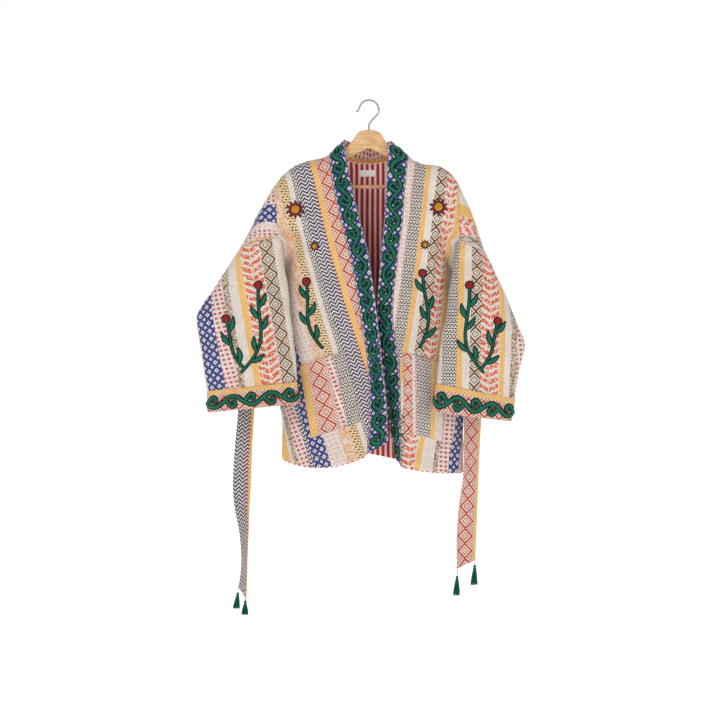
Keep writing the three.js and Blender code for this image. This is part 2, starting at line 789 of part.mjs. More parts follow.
// Belt loops are sewn on the back beside the side seams, above and below the belt.
const LOOP_AT = 0.9; // share of the half back
const LOOP_WIDTH = 9;
const LOOP_THICK = 1.6;
const LOOP_OVER = BELT_WIDTH / 2 + 3;
const LOOP_FOOT = LOOP_OVER + 9;
const SECTION_APART = 104; // height between the sections on either side of the belt
for (const side of ["left", "right"]) {
  const tangent = backNormal(side, LOOP_AT, BELT_AT).cross(UP);
  const foot = (up) => {
    const at = BELT_AT - up / SECTION_APART;
    const sewn = CLOTH + SEAM + LOOP_THICK / 2;
    return backPoint(side, LOOP_AT, at).addScaledVector(backNormal(side, LOOP_AT, at), sewn);
  };
  const over = (up) => {
    const outward = (BELT_THICK + LOOP_THICK) / 2 + 2 * SEAM;
    return beltBehind(side, LOOP_AT, outward).add(point(0, 0, up));
  };
  const line = [foot(LOOP_FOOT), over(LOOP_OVER), over(-LOOP_OVER), foot(-LOOP_FOOT)];
  const places = line.map((p) => ({ p, wide: tangent }));
  add(`belt_loop_${side}`, ribbonGeometry(places, LOOP_WIDTH, LOOP_THICK), CREAM);
}

// Solids for joining, and the geometry of a joined solid.
function solidOf(geometry) {
  const position = geometry.getAttribute("position").array;
  const triVerts = new Uint32Array(geometry.index.array);
  const vertProperties = new Float32Array(position);
  return new wasm.Manifold(new wasm.Mesh({ numProp: 3, vertProperties, triVerts }));
}

function geometryOfSolid(solid) {
  const mesh = solid.getMesh();
  const points = [];
  for (let k = 0; k < mesh.numVert; k++)
    points.push(point(...mesh.vertProperties.subarray(k * mesh.numProp, k * mesh.numProp + 3)));
  return geometryOf(points, Array.from(mesh.triVerts));
}

// Joining leaves slivers, which are dropped.
const SLIVER = 0.2;
function joined(geometries) {
  const sum = geometries.map(solidOf).reduce((whole, solid) => whole.add(solid));
  return geometryOfSolid(sum.asOriginal().simplify(SLIVER));
}

// The cosine and sine of the corners of a regular polygon.
const round = (sides) =>
  steps(0, 2 * Math.PI, sides)
    .slice(1)
    .map((a) => [Math.cos(a), Math.sin(a)]);

// A round bar along a list of points.
function wireGeometry(points, radius, sides) {
  const last = points.length - 1;
  let across = point(0, 1, 0);
  const rings = points.map((p, k) => {
    const next = points[Math.min(k + 1, last)];
    const along = next.clone().sub(points[Math.max(k - 1, 0)]).normalize();
    across = squaredTo(across, along);
    const other = along.clone().cross(across);
    return round(sides).map(([c, s]) =>
      p.clone().addScaledVector(across, radius * c).addScaledVector(other, radius * s),
    );
  });
  return tubeOf(rings);
}

// Tassels hang by a short cord from the corners of the belt's ends. share is the place
// across the belt's half width.
const STRANDS = 14;
const STRAND_WIDTH = 1.5;
const TASSEL_COLUMNS = "share lean cord skirt";
const TASSELS = {
  left: table(TASSEL_COLUMNS, [
    [-0.85, -3, 10, 32],
    [0.85, -1, 5, 28],
  ]),
  right: table(TASSEL_COLUMNS, [
    [0.92, -1, 16, 40],
    [-0.92, -1, 10, 42],
  ]),
};
const LEAN_OVER = 30; // the height over which lean is given
const CORD_RADIUS = 1.1;
const CORD_SIDES = 5;
const HEAD_HEIGHT = 9;
const HEAD_RADIUS = 4.2;
const HEAD_SIDES = 8;
const HEAD_SHARES = [0.35, 0.9, 1, 0.8, 0.95];
const SKIRT_RADIUS = 10;
const ROOT_DEPTH = 1.2; // how far a strand's root runs up into the head
const STRAND_RING = { inner: { root: 1.6, end: 0.45 }, outer: { root: 3, end: 0.92 } };
const STRAND_UNEVEN = 0.1;
const STRAND_WAVES = 5;

// The point under the belt's slanted end from which a tassel hangs.
function tasselTop([before, { p, wide, slant }], share) {
  const along = p.clone().sub(before.p).normalize();
  const corner = p.clone().addScaledVector(squaredTo(wide, along), (share * BELT_WIDTH) / 2);
  const drop = 2 * SEAM + (CORD_RADIUS * Math.abs(slant)) / BELT_WIDTH;
  return corner.add(point(0, 0, (share * slant) / 2 - drop));
}

function tasselGeometry({ lean, cord, skirt }, top) {
  const down = (distance) => top.clone().add(point((lean * distance) / LEAN_OVER, 0, -distance));
  const cordLine = [down(0), down(cord / 2), down(cord + HEAD_HEIGHT / 2)];
  const parts = [wireGeometry(cordLine, CORD_RADIUS, CORD_SIDES)];
  const level = HEAD_HEIGHT / (HEAD_SHARES.length - 1);
  const rings = HEAD_SHARES.map((share, k) =>
    round(HEAD_SIDES).map(([c, s]) =>
      down(cord + k * level).add(point(c, s, 0).multiplyScalar(share * HEAD_RADIUS)),
    ),
  );
  parts.push(tubeOf(rings));
  for (let k = 0; k < STRANDS; k++) {
    const a = (2 * Math.PI * k) / STRANDS;
    const own = k % 2 ? STRAND_RING.inner : STRAND_RING.outer;
    const length = skirt * (1 - STRAND_UNEVEN + STRAND_UNEVEN * Math.cos(STRAND_WAVES * a));
    const ring = (distance, reach) =>
      round(3).map(([c, s]) => {
        const middle = point(reach, 0, 0);
        const corner = point(c, s, 0).multiplyScalar(STRAND_WIDTH / 2);
        return down(distance).add(middle.add(corner).applyAxisAngle(UP, a));
      });
    const start = cord + HEAD_HEIGHT - ROOT_DEPTH;
    parts.push(tubeOf([ring(start, own.root), ring(start + length, SKIRT_RADIUS * own.end)]));
  }
  return joined(parts);
}

for (const side of ["left", "right"]) {
  const end = beltTail(side).slice(-2);
  TASSELS[side].forEach((tassel, k) => {
    const geometry = tasselGeometry(tassel, tasselTop(end, tassel.share));
    add(`tassel_${side}_${"ab"[k]}`, geometry, GREEN, 0.85);
  });
}

// The hanger's arms follow the shoulders from inside, just under the cloth.
const ARM_LIFT = 1.5;
const ARM_FROM = 0.03;
const ARM_STEPS = 6;
const ARM_TO = { left: 0.56, right: 0.6 }; // how far along the shoulder the arms reach
const BOSS = table("x top", [
  [0, -70],
  [14, -71],
  [29, -78],
  [36, -92],
  [48, -107],
]);
const WOOD_APEX = -114; // underside at the middle
const WOOD_SLOPE = 0.51;
const WOOD_THICK = 12.6;
const WOOD_HIGH = 22; // least height of the arms
const WOOD_PROFILE = table("share down up", [
  [0.5, 3.6, 0],
  [1, 9, 4],
]);
const BAR_Z = -208;
const BAR_RADIUS = 4.4;
const BAR_REACH = 178;
const BAR_SIDES = 12;
const WIRE = 1.9;
const WIRE_SIDES = 7;
const STEM_FOOT = -90;

function armStations(side) {
  const out = side === "left" ? -1 : 1;
  const middle = BOSS.slice(out < 0 ? 0 : 1).map(({ x, top }) => [out * x, top]);
  const arm = steps(ARM_FROM, ARM_TO[side], ARM_STEPS).map((u) => {
    const p = sectionPoint(FRONT[side][0], side, u);
    return [p.x, p.z - ARM_LIFT];
  });
  return [...middle, ...arm];
}

function woodRing([x, top]) {
  const under = WOOD_APEX - WOOD_SLOPE * Math.abs(x);
  const low = Math.min(under, top - WOOD_HIGH);
  const half = WOOD_THICK / 2;
  const upper = WOOD_PROFILE.map(({ share, down }) => point(x, share * half, top - down));
  const lower = WOOD_PROFILE.map(({ share, up }) => point(x, share * half, low + up)).reverse();
  const near = [...upper, ...lower];
  const far = near.map((p) => point(x, -p.y, p.z)).reverse();
  return [point(x, 0, top), ...near, ...far];
}

function hangerWood() {
  const stations = [...armStations("left").reverse(), ...armStations("right")];
  const wood = solidOf(tubeOf(stations.map(woodRing)));
  const barHole = wireGeometry(barLine(BAR_REACH + 1), BAR_RADIUS + SEAM, BAR_SIDES);
  const stem = [point(0, 0, STEM_FOOT - SEAM), ZERO];
  const stemHole = wireGeometry(stem, WIRE + SEAM, BAR_SIDES);
  return geometryOfSolid(wood.subtract(solidOf(barHole)).subtract(solidOf(stemHole)));
}

const barLine = (reach) => [point(-reach, 0, BAR_Z), point(reach, 0, BAR_Z)];

// The hook's stem leans out to the arch, and its tip turns out a little.
const HOOK_RADIUS = 22 + WIRE;
const ARCH = { from: -22, to: 172, steps: 12 }; // degrees round the hook's middle
function hookPath() {
  const stem = [
    point(0, 0, STEM_FOOT),
    point(0, 0, -58),
    point(3, 0, -52),
    point(14, 0, -40),
  ];
  const arch = steps(ARCH.from, ARCH.to, ARCH.steps).map((degrees) => {
    const a = THREE.MathUtils.degToRad(degrees);
    return point(HOOK_RADIUS * Math.cos(a), 0, HOOK_RADIUS * (Math.sin(a) - 1) + WIRE);
  });
  return [...stem, ...arch, point(-26.5, 0, -24), point(-30, 0, -25.5)];
}

add("hanger_wood", hangerWood(), "#c9a06c", 0.5);
add("hanger_bar", wireGeometry(barLine(BAR_REACH), BAR_RADIUS, BAR_SIDES), "#cfa877", 0.5);
add("hanger_hook", wireGeometry(hookPath(), WIRE, WIRE_SIDES), "#b8b4ae", 0.3, 0.9);

// The place on a patch at real-numbered row and column, at a height over its cloth.
function onPatch({ grid, ring, flip }, row, column, height) {
  const i = Math.min(Math.max(Math.floor(row), 0), grid.length - 2);
  const count = grid[0].length;
  const wrapped = ring ? ((column % count) + count) % count : column;
  const j = Math.min(Math.max(Math.floor(wrapped), 0), ring ? count - 1 : count - 2);
  const p = row - i;
  const q = wrapped - j;
  const next = (j + 1) % count;
  const [a, b, c, d] = [grid[i][j], grid[i][next], grid[i + 1][next], grid[i + 1][j]];
  const place = a.clone();
  if (q > p) place.addScaledVector(b.clone().sub(a), q).addScaledVector(c.clone().sub(b), p);
  else place.addScaledVector(d.clone().sub(a), p).addScaledVector(c.clone().sub(d), q);
  const [na, nb, nc, nd] = [a, b, c, d].map(normalAt);
  const top = na.lerp(nb, q);
  const bottom = nd.lerp(nc, q);
  return place.addScaledVector(top.lerp(bottom, p).normalize(), height);
}

// Real-numbered index along a line of points for a distance along it.
function indexAt(line, distance) {
  let left = distance;
  for (let k = 0; k + 1 < line.length; k++) {
    const length = line[k].distanceTo(line[k + 1]);
    if (left <= length || k + 2 === line.length) return k + left / length;
    left -= length;
  }
}

const lengthOf = (line) => line.slice(1).reduce((sum, p, k) => sum + p.distanceTo(line[k]), 0);

// A padded stitched stroke along a flat path, laid on a surface by its place function.
// Its section is a low ridge; widths gives its width along the path.
function strokeGeometry(path, widths, place, cloth) {
  const last = path.length - 1;
  const rings = path.map(([x, y], k) => {
    const [x0, y0] = path[Math.max(k - 1, 0)];
    const [x1, y1] = path[Math.min(k + 1, last)];
    const length = Math.hypot(x1 - x0, y1 - y0);
    const half = widths(k / last) / 2;
    const dx = (-(y1 - y0) / length) * half;
    const dy = ((x1 - x0) / length) * half;
    const low = cloth + LIFT;
    return [
      place(x + dx, y + dy, low),
      place(x - dx, y - dy, low),
      place(x, y, low + EMBROIDERY),
    ];
  });
  return tubeOf(rings);
}

const STROKE = 9.5;
const blunt = () => STROKE;
const tapered = (t) => STROKE * (1 - 0.35 * t);
const LEAF = { tip: 3, belly: 11, fullness: 0.8 };
const leafWidth = (t) => LEAF.tip + LEAF.belly * Math.sin(Math.PI * t) ** LEAF.fullness;

// A running scroll: a wave with a curl in each hollow.
const WAVE = 86;
const SWING = 11;
const WAVE_STEPS = 6;
const CURL_STEPS = 4;
const CURL_RADIUS = 8.5;
const CURL_CENTRE = 4.5;
const CURL_ROOT = 0.19; // how far before its hollow a curl leaves the wave, in waves
const CURL_FROM = 0.02; // in half turns
const CURL_TURN = 1.5;
const CURL_OPEN = 1.25; // share of the radius at the curl's start
const CURL_CLOSE = 0.42;
const RING_GAP = 0.1; // share of a wave left open where a scroll comes round

function scroll(waves, length, closed) {
  const wave = length / waves;
  const stem = steps(0, closed ? waves - RING_GAP : waves, waves * WAVE_STEPS).map((t) => [
    t * wave,
    SWING * Math.sin(2 * Math.PI * t),
  ]);
  const curls = steps(0.25, waves - 0.25, 2 * waves - 1).map((t, k) => {
    const side = k % 2 ? 1 : -1;
    const root = [(t - CURL_ROOT) * wave, -side * SWING * Math.cos(2 * Math.PI * CURL_ROOT)];
    const turns = steps(0, 1, CURL_STEPS).map((along) => {
      const angle = Math.PI * (1 + side * (CURL_FROM + CURL_TURN * along));
      const radius = CURL_RADIUS * mix(CURL_OPEN, CURL_CLOSE, along);
      return [
        t * wave + radius * Math.cos(angle),
        side * CURL_CENTRE - radius * Math.sin(angle),
      ];
    });
    return [root, ...turns];
  });
  return { stem, curls };
}

function scrollGeometry(waves, length, closed, place, cloth) {
  const { stem, curls } = scroll(waves, length, closed);
  return joined([
    strokeGeometry(stem, blunt, place, cloth),
    ...curls.map((curl) => strokeGeometry(curl, tapered, place, cloth)),
  ]);
}

// Extra space where the cloth turns sharply, over the shoulder and round the cuff's ends.
const TOP_REACH = 120;
const TOP_LIFT = 2.3;
const BEND_LIFT = 2;
const CUFF_SCROLL_AT = 0.58; // how far down the cuff the scroll runs
const RIDGE_ROW = ROWS_ABOVE + ROWS_BELOW;
for (const side of ["left", "right"]) {
  const { band, cuff } = patches[side];
  const line = band.grid.slice(0, RIDGE_ROW + 1).map((row) => row[1]);
  const length = lengthOf(line) - STROKE;
  const width = band.grid[ROWS_BELOW][0].distanceTo(band.grid[ROWS_BELOW][BAND_ACROSS]);
  const onBand = (along, across, height) => {
    const nearTop = Math.max(0, 1 - (length - along) / TOP_REACH);
    const column = BAND_ACROSS * (0.5 + across / width);
    return onPatch(band, indexAt(line, along + STROKE / 2), column, height + TOP_LIFT * nearTop);
  };
  const waves = Math.round(length / WAVE);
  add(`scroll_band_${side}`, scrollGeometry(waves, length, false, onBand, DOUBLE), GREEN);

  const girth = [...cuff.grid[1], cuff.grid[1][0]];
  const around = lengthOf(girth);
  const high = cuff.grid[0][0].distanceTo(cuff.grid[CUFF_ROWS][0]);
  const onCuff = (along, across, height) => {
    const column = indexAt(girth, along);
    const nearest = RING_AT[Math.round(column) % RING_AT.length];
    const bend = Math.cos(THREE.MathUtils.degToRad(nearest)) ** 4;
    const row = CUFF_ROWS * (CUFF_SCROLL_AT + across / high);
    return onPatch(cuff, row, column, height + BEND_LIFT * bend);
  };
  const cuffWaves = Math.round(around / WAVE);
  add(`scroll_cuff_${side}`, scrollGeometry(cuffWaves, around, true, onCuff, DOUBLE), GREEN);
}

// Sprigs: a bowed stem with leaves by turns on each side and a round flower on top. Each
// row gives the foot and the top as seen from the front, the bow to one side, and the
// numbers of leaves.
const SPRIG_COLUMNS = "footX footZ topX topZ bow leaves";
const SPRIGS = {
  sleeve_left: table(SPRIG_COLUMNS, [
    [-300, -655, -262, -450, -26, 5],
    [-294, -648, -338, -530, 10, 3],
  ]),
  front_left: table(SPRIG_COLUMNS, [[-112, -598, -150, -440, 16, 4]]),
  front_right: table(SPRIG_COLUMNS, [[122, -596, 128, -420, -16, 4]]),
  sleeve_right: table(SPRIG_COLUMNS, [
    [268, -655, 238, -450, 26, 5],
    [264, -648, 304, -536, -8, 3],
  ]),
};
const STEM_STEPS = 8;
const STEM_WIDTH = 7.5;
const LEAF_LENGTH = 30;
const LEAF_STEPS = 3;
const LEAF_SPREAD = 0.85; // angle between a leaf and its stem, in radians
const FLOWER_RADIUS = 8.5;
const FLOWER_SIDES = 8;
const FLOWER_HEIGHT = EMBROIDERY + 0.8;
const STEM_WAG = 0.3; // share of the bow by which a stem also bends like an S
const LEAF_CURVE = 0.5;
const LEAVES_FROM = 0.14;
const LEAVES_TO = 0.86;

function stemPath({ footX, footZ, topX, topZ, bow }) {
  const length = Math.hypot(topX - footX, topZ - footZ);
  const [nx, nz] = [-(topZ - footZ) / length, (topX - footX) / length];
  return steps(0, 1, STEM_STEPS).map((t) => {
    const off = bow * (Math.sin(Math.PI * t) + STEM_WAG * Math.sin(2 * Math.PI * t));
    return [mix(footX, topX, t) + nx * off, mix(footZ, topZ, t) + nz * off];
  });
}

function leafPath(stem, t, side) {
  const k = Math.min(Math.floor(t * STEM_STEPS), STEM_STEPS - 1);
  const [[x0, z0], [x1, z1]] = [stem[k], stem[k + 1]];
  const heading = Math.atan2(z1 - z0, x1 - x0) + side * LEAF_SPREAD;
  return steps(0, 1, LEAF_STEPS).map((along) => {
    const reach = LEAF_LENGTH * along;
    const curve = heading - side * LEAF_CURVE * along;
    return [x0 + reach * Math.cos(curve), z0 + reach * Math.sin(curve)];
  });
}

// A low round flower on a surface.
function flowerGeometry(x, z, place) {
  const low = CLOTH + LIFT;
  const ring = (share, level) => {
    const reach = FLOWER_RADIUS * share;
    return round(FLOWER_SIDES).map(([c, s]) => place(x + reach * c, z + reach * s, level));
  };
  const middle = low + 0.6 * FLOWER_HEIGHT;
  return tubeOf([ring(1, low), ring(0.9, middle), ring(0.4, low + FLOWER_HEIGHT)]);
}

function sprigParts(row, place) {
  const stem = stemPath(row);
  const leaves = steps(LEAVES_FROM, LEAVES_TO, row.leaves - 1).map((t, k) =>
    strokeGeometry(leafPath(stem, t, k % 2 ? 1 : -1), leafWidth, place, CLOTH),
  );
  const [x, z] = stem[STEM_STEPS];
  const stalk = strokeGeometry(stem, () => STEM_WIDTH, place, CLOTH);
  return [stalk, ...leaves, flowerGeometry(x, z, place)];
}

for (const [name, rows] of Object.entries(SPRIGS)) {
  const [piece, side] = name.split("_");
  const place = seenFrom(sheetOf([patches[side][piece]]));
  add(`sprig_${name}`, joined(rows.flatMap((row) => sprigParts(row, place))), GREEN);
}

// Rosettes on the chest: a domed centre that spreads into short pointed petals. lift is
// the space that each needs over the cloth's bends.
const PETALS = 10;
const ROSETTES = table("x z radius lift", [
  [-176, -268, 23, 1.7],
  [-130, -356, 13, 1.3],
  [166, -262, 23, 0.9],
  [134, -352, 13, 0.8],
]);

const ROSETTE_LAYERS = table("tip hollow height", [
  [1, 0.5, 0],
  [0.9, 0.45, 1],
  [0.4, 0.4, EMBROIDERY],
]);

function rosetteGeometry({ x, z, radius, lift }, place) {
  const rings = ROSETTE_LAYERS.map(({ tip, hollow, height }) =>
    round(2 * PETALS).map(([c, s], k) => {
      const reach = radius * (k % 2 ? tip : hollow);
      return place(x + reach * c, z + reach * s, CLOTH + lift + height);
    }),
  );
  return tubeOf(rings);
}

ROSETTES.forEach((rosette, k) => {
  const side = rosette.x < 0 ? "left" : "right";
  const place = seenFrom(sheetOf([patches[side].front]));
  const size = k % 2 ? "small" : "large";
  add(`rosette_${side}_${size}`, rosetteGeometry(rosette, place), GOLD);
});

export default garment;
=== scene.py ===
import math

import bpy
import numpy as np
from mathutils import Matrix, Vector
from mathutils.bvhtree import BVHTree


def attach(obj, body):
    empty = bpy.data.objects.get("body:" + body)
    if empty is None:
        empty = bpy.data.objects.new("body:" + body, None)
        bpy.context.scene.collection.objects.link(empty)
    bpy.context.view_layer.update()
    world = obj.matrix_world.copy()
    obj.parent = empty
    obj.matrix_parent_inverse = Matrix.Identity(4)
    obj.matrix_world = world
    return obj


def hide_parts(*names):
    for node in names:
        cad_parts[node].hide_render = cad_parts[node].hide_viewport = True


# The hip-length kimono jacket on its hanger, in fine cloth. Sizes are in millimetres and
# become metres when a mesh is made. Left and right are as seen from the front.
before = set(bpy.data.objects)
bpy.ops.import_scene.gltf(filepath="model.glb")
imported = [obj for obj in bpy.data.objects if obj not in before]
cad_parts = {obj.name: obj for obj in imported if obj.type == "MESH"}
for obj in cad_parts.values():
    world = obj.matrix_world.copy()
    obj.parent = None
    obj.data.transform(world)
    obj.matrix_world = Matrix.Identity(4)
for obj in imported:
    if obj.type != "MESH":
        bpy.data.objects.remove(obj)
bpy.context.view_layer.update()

CLOTH = 2.0
DOUBLE = 3.0
MM = 0.001
WELD = 0.01  # points closer than this are one


def mix(a, b, t):
    return a + (b - a) * t


def table(columns, rows):
    """Rows of numbers as named columns."""
    return dict(zip(columns.split(), np.array(rows, float).T))


def distances(line):
    """How far each point is along a line."""
    steps = np.linalg.norm(np.diff(line, axis=0), axis=1)
    return np.concatenate([[0], np.cumsum(steps)])


OUT = {"left": -1, "right": 1}

# Sections of the body, from the shoulder line down to the hem
FRONT_COLUMNS = "seamX seamY seamZ sideX sideY sideZ rise turn fold sag edgeX edgeY edgeZ"
FRONT = {
    "left": table(FRONT_COLUMNS, [
        [-94, 0, -131, -310, 0, -356, 66, 1, 0, 0, -57, 0, -95],
        [-93, -27, -152, -297, -45, -355, 58, 1, 0, 0, -57, -25, -121],
        [-85, -40, -215, -262, -62, -346, 22, 2, 4, 0, -42, -43, -206],
        [-65, -46, -300, -214, -46, -337, 4, 1, 24, 0, -22, -50, -288],
        [-52, -49, -352, -213, -8, -372, 0, 3, 14, 0, -9, -53, -341],
        [-41, -52, -400, -252, 22, -422, 0, 2.2, 20, 0, 2, -55, -390],
        [-20, -56, -520, -294, 28, -524, 0, 2.2, 16, 0, 18, -58, -512],
        [-3, -58, -640, -262, 18, -628, 0, 2.4, 6, 0, 31, -60, -630],
        [2, -59, -745, -213, 6, -742, 0, 2.8, 0, 4, 42, -61, -733],
        [-5, -60, -852, -208, -2, -866, 0, 3, 0, 24, 46, -62, -822],
    ]),
    "right": table(FRONT_COLUMNS, [
        [95, 0, -134, 283, 0, -373, 86, 1, 0, 0, 50, 0, -98],
        [93, -27, -152, 273, -44, -370, 76, 1, 0, 0, 46, -25, -123],
        [86, -40, -215, 247, -60, -358, 30, 2, 4, 0, 41, -42, -215],
        [80, -44, -300, 211, -46, -343, 4, 1, 24, 0, 35, -46, -300],
        [73, -45, -350, 207, -8, -376, 0, 3, 14, 0, 31, -47, -350],
        [67, -45, -400, 240, 22, -426, 0, 2.2, 20, 0, 26, -47, -400],
        [57, -45, -520, 260, 28, -528, 0, 2.2, 16, 0, 20, -30, -515],
        [72, -46, -640, 248, 18, -632, 0, 2.4, 6, 0, 33, -26, -637],
        [76, -48, -745, 229, 6, -746, 0, 2.8, 0, 2, 46, -17, -748],
        [78, -50, -882, 226, -2, -898, 0, 3, 0, 5, 63, -20, -853],
    ]),
}
BACK_COLUMNS = "seamX seamY seamZ sideX sideY sideZ rise turn sag edgeX edgeY edgeZ"
BACK = {
    "left": table(BACK_COLUMNS, [
        [-94, 0, -131, -310, 0, -356, 66, 1, 0, -57, 0, -95],
        [-56, 30, -141, -306, 24, -366, 60, 1, 0, -36, 24, -99],
        [0, 42, -147, -292, 34, -388, 52, 2, 0, 0, 34, -103],
        [0, 50, -235, -268, 32, -412, 20, 3, 0, 0, 0, 0],
        [0, 55, -340, -252, 22, -422, 0, 3, 0, 0, 0, 0],
        [0, 58, -500, -294, 28, -524, 0, 3, 0, 0, 0, 0],
        [0, 60, -628, -262, 18, -628, 0, 3, 0, 0, 0, 0],
        [0, 61, -745, -213, 6, -742, 0, 3, 4, 0, 0, 0],
        [0, 61, -856, -208, -2, -866, 0, 3, 16, 0, 0, 0],
    ]),
    "right": table(BACK_COLUMNS, [
        [95, 0, -134, 283, 0, -373, 86, 1, 0, 50, 0, -98],
        [56, 30, -142, 280, 24, -382, 80, 1, 0, 34, 24, -101],
        [0, 42, -147, 270, 34, -400, 68, 2, 0, 0, 34, -103],
        [0, 50, -235, 254, 32, -418, 24, 3, 0, 0, 0, 0],
        [0, 55, -340, 240, 22, -426, 0, 3, 0, 0, 0, 0],
        [0, 58, -500, 260, 28, -528, 0, 3, 0, 0, 0, 0],
        [0, 60, -628, 248, 18, -632, 0, 3, 0, 0, 0, 0],
        [0, 61, -745, 229, 6, -746, 0, 3, 2, 0, 0, 0],
        [0, 61, -856, 226, -2, -898, 0, 3, 2, 0, 0, 0],
    ]),
}
SHOULDER_SKEW = {"left": 1.05, "right": 1.25}
SHOULDER_POWER = 1.3
SAG_POWER = {"front": 0.7, "back": 2}
FOLD_AT = 0.8
FOLD_WIDTH = 0.13
FOLD_FADE = 8
UNDERARM = {"front": 5, "back": 4}
BACK_CENTRE = 2
NECK_RISE = 60

# Rings of the sleeves and cuffs
RING_COLUMNS = "outerX innerX outerZ innerZ centreY depth lag"
SLEEVE = {
    "left": table(RING_COLUMNS, [
        [-340, -198, -412, -438, -40, 62, 44],
        [-371, -193, -462, -478, -46, 64, 30],
        [-407, -189, -520, -524, -55, 60, 10],
        [-403, -182, -576, -578, -58, 56, 0],
        [-393, -176, -634, -628, -64, 52, 0],
        [-383, -174, -701, -679, -67, 48, 0],
    ]),
    "right": table(RING_COLUMNS, [
        [302, 197, -424, -444, -40, 62, 44],
        [325, 190, -474, -484, -46, 64, 30],
        [349, 184, -538, -534, -55, 62, 10],
        [368, 175, -592, -580, -58, 58, 0],
        [354, 168, -652, -634, -64, 54, 0],
        [344, 163, -719, -683, -67, 50, 0],
    ]),
}
CUFF = {
    "left": table(RING_COLUMNS, [
        [-383, -174, -701, -679, -67, 48, 0],
        [-380, -165, -752, -731, -70, 54, 0],
    ]),
    "right": table(RING_COLUMNS, [
        [344, 163, -719, -683, -67, 50, 0],
        [335, 152, -773, -750, -70, 56, 0],
    ]),
}
RING_ANGLES = np.array([0, 42, 88, 134, 180, 214, 258, 300, 332, 360.0])
HEAD_SEAM = {
    "left": {"top": (-223.5, -203), "front": (-219, -341), "back": (-262, -417)},
    "right": {"top": (214, -202), "front": (215.5, -345), "back": (247, -423)},
}
HEAD_PAST = 10

# How finely the cloth is divided
PER_SECTION = 14
BODY_ACROSS = 64
HEAD_ACROSS = 24
SLEEVE_PER_RING = 11
CUFF_DOWN = 10
BAND_ACROSS = 12


def smooth(points, at):
    """Values through the rows of points at real-numbered places. points may have one set of
    rows for each place, as its second axis."""
    last = len(points) - 1
    k = np.clip(np.floor(at).astype(int), 0, last - 1)
    own = points.ndim > 2 and points.shape[1] == len(at)
    t = (at - k).reshape((-1,) + (1,) * (points.ndim - 1 - own))
    each = np.arange(len(at))
    pick = lambda n: points[np.clip(n, 0, last), each] if own else points[np.clip(n, 0, last)]
    a, b = pick(k), pick(k + 1)
    first = (k > 0).reshape(t.shape)
    final = (k < last - 1).reshape(t.shape)
    before = np.where(first, pick(k - 1), 2 * a - b)
    after = np.where(final, pick(k + 2), 2 * b - a)
    low, high = (b - before) / 2, (after - a) / 2
    t2, t3 = t * t, t * t * t
    return (2 * t3 - 3 * t2 + 1) * a + (t3 - 2 * t2 + t) * low + (3 * t2 - 2 * t3) * b + (t3 - t2) * high


def shoulder(side, u):
    return np.maximum(0, np.sin(math.pi * np.clip(u, 0, 1) ** SHOULDER_SKEW[side])) ** SHOULDER_POWER


def section_points(sections, side, u):
    """Every section's points at the shares u, which may be a row of shares for each place."""
    front = "fold" in sections
    column = lambda name: sections[name].reshape((-1,) + (1,) * u.ndim)
    x = mix(column("seamX"), column("sideX"), u)
    y = mix(column("seamY"), column("sideY"), u ** column("turn"))
    z = mix(column("seamZ"), column("sideZ"), u)
    power = SAG_POWER["front" if front else "back"]
    z = z + column("rise") * shoulder(side, u)
    z = z - column("sag") * np.maximum(0, np.sin(math.pi * u)) ** power
    if front:
        fold = column("fold") * np.exp(-(((u - FOLD_AT) / FOLD_WIDTH) ** 2))
        y = y + fold * np.minimum(1, (1 - u) * FOLD_FADE)
    return np.stack([x, y, z], -1)


def front_points(side, at, u):
    return smooth(section_points(FRONT[side], side, u), at)


def back_points(side, at, u):
    """The back's inner edge runs round the neck to the centre, then straight down."""
    points = section_points(BACK[side], side, u)
    near = ((1 - u) ** 2)[..., None]
    origin = np.zeros_like(u)
    past = section_points(BACK[side], side, origin)[BACK_CENTRE - 1] * [-1, 1, 1]
    centre = section_points(BACK[side], side, origin)[BACK_CENTRE] + [0, 0, NECK_RISE]
    above, below = points.copy(), points.copy()
    above[BACK_CENTRE + 1] = mix(above[BACK_CENTRE + 1], past, near)
    below[BACK_CENTRE - 1] = mix(below[BACK_CENTRE - 1], centre, near)
    upper = (at <= BACK_CENTRE).reshape(-1, 1, 1)
    return np.where(upper, smooth(above, at), smooth(below, at))


def ring_points(rings, degrees):
    angle = np.radians(degrees)
    across = (1 - np.cos(angle)) / 2
    behind = np.maximum(0, -np.sin(angle))
    column = lambda name: rings[name][:, None]
    x = mix(column("outerX"), column("innerX"), across)
    y = column("centreY") - column("depth") / 2 * np.sin(angle)
    z = mix(column("outerZ"), column("innerZ"), across) - column("lag") * behind
    return np.stack([x, y, z], -1)


# Where each section leaves the body for the sleeve head, as a share from seam to side
def head_starts(side, which, at):
    points = front_points if which == "front" else back_points
    u = np.linspace(0, 1, 401)
    line = points(side, at, np.tile(u, (len(at), 1)))
    (top_x, top_z), (end_x, end_z) = HEAD_SEAM[side]["top"], HEAD_SEAM[side][which]
    slope = (end_x - top_x) / (end_z - top_z)
    beyond = OUT[side] * (line[..., 0] - top_x - slope * (line[..., 2] - top_z))
    starts = np.ones(len(at))
    for i, row in enumerate(beyond):
        k = int(np.argmax(row > 0))
        if at[i] > UNDERARM[which] or not row[k] > 0 or k == 0:
            continue
        if line[i, k, 2] > end_z - HEAD_PAST:
            starts[i] = mix(u[k - 1], u[k], -row[k - 1] / (row[k] - row[k - 1]))
    # below the seam's end the body keeps its whole width
    ended = np.nonzero(starts >= 1)[0]
    if len(ended):
        starts[ended[0]:] = 1
    return starts


def rows_to(count):
    return np.arange(count * PER_SECTION + 1) / PER_SECTION


FRONT_AT = rows_to(9)
BACK_AT = rows_to(8)
RING_AT = np.concatenate([rows_to(5), 5 + rows_to(4)[1:]])
RING_DEGREES = smooth(RING_ANGLES[:, None], RING_AT)[:, 0]


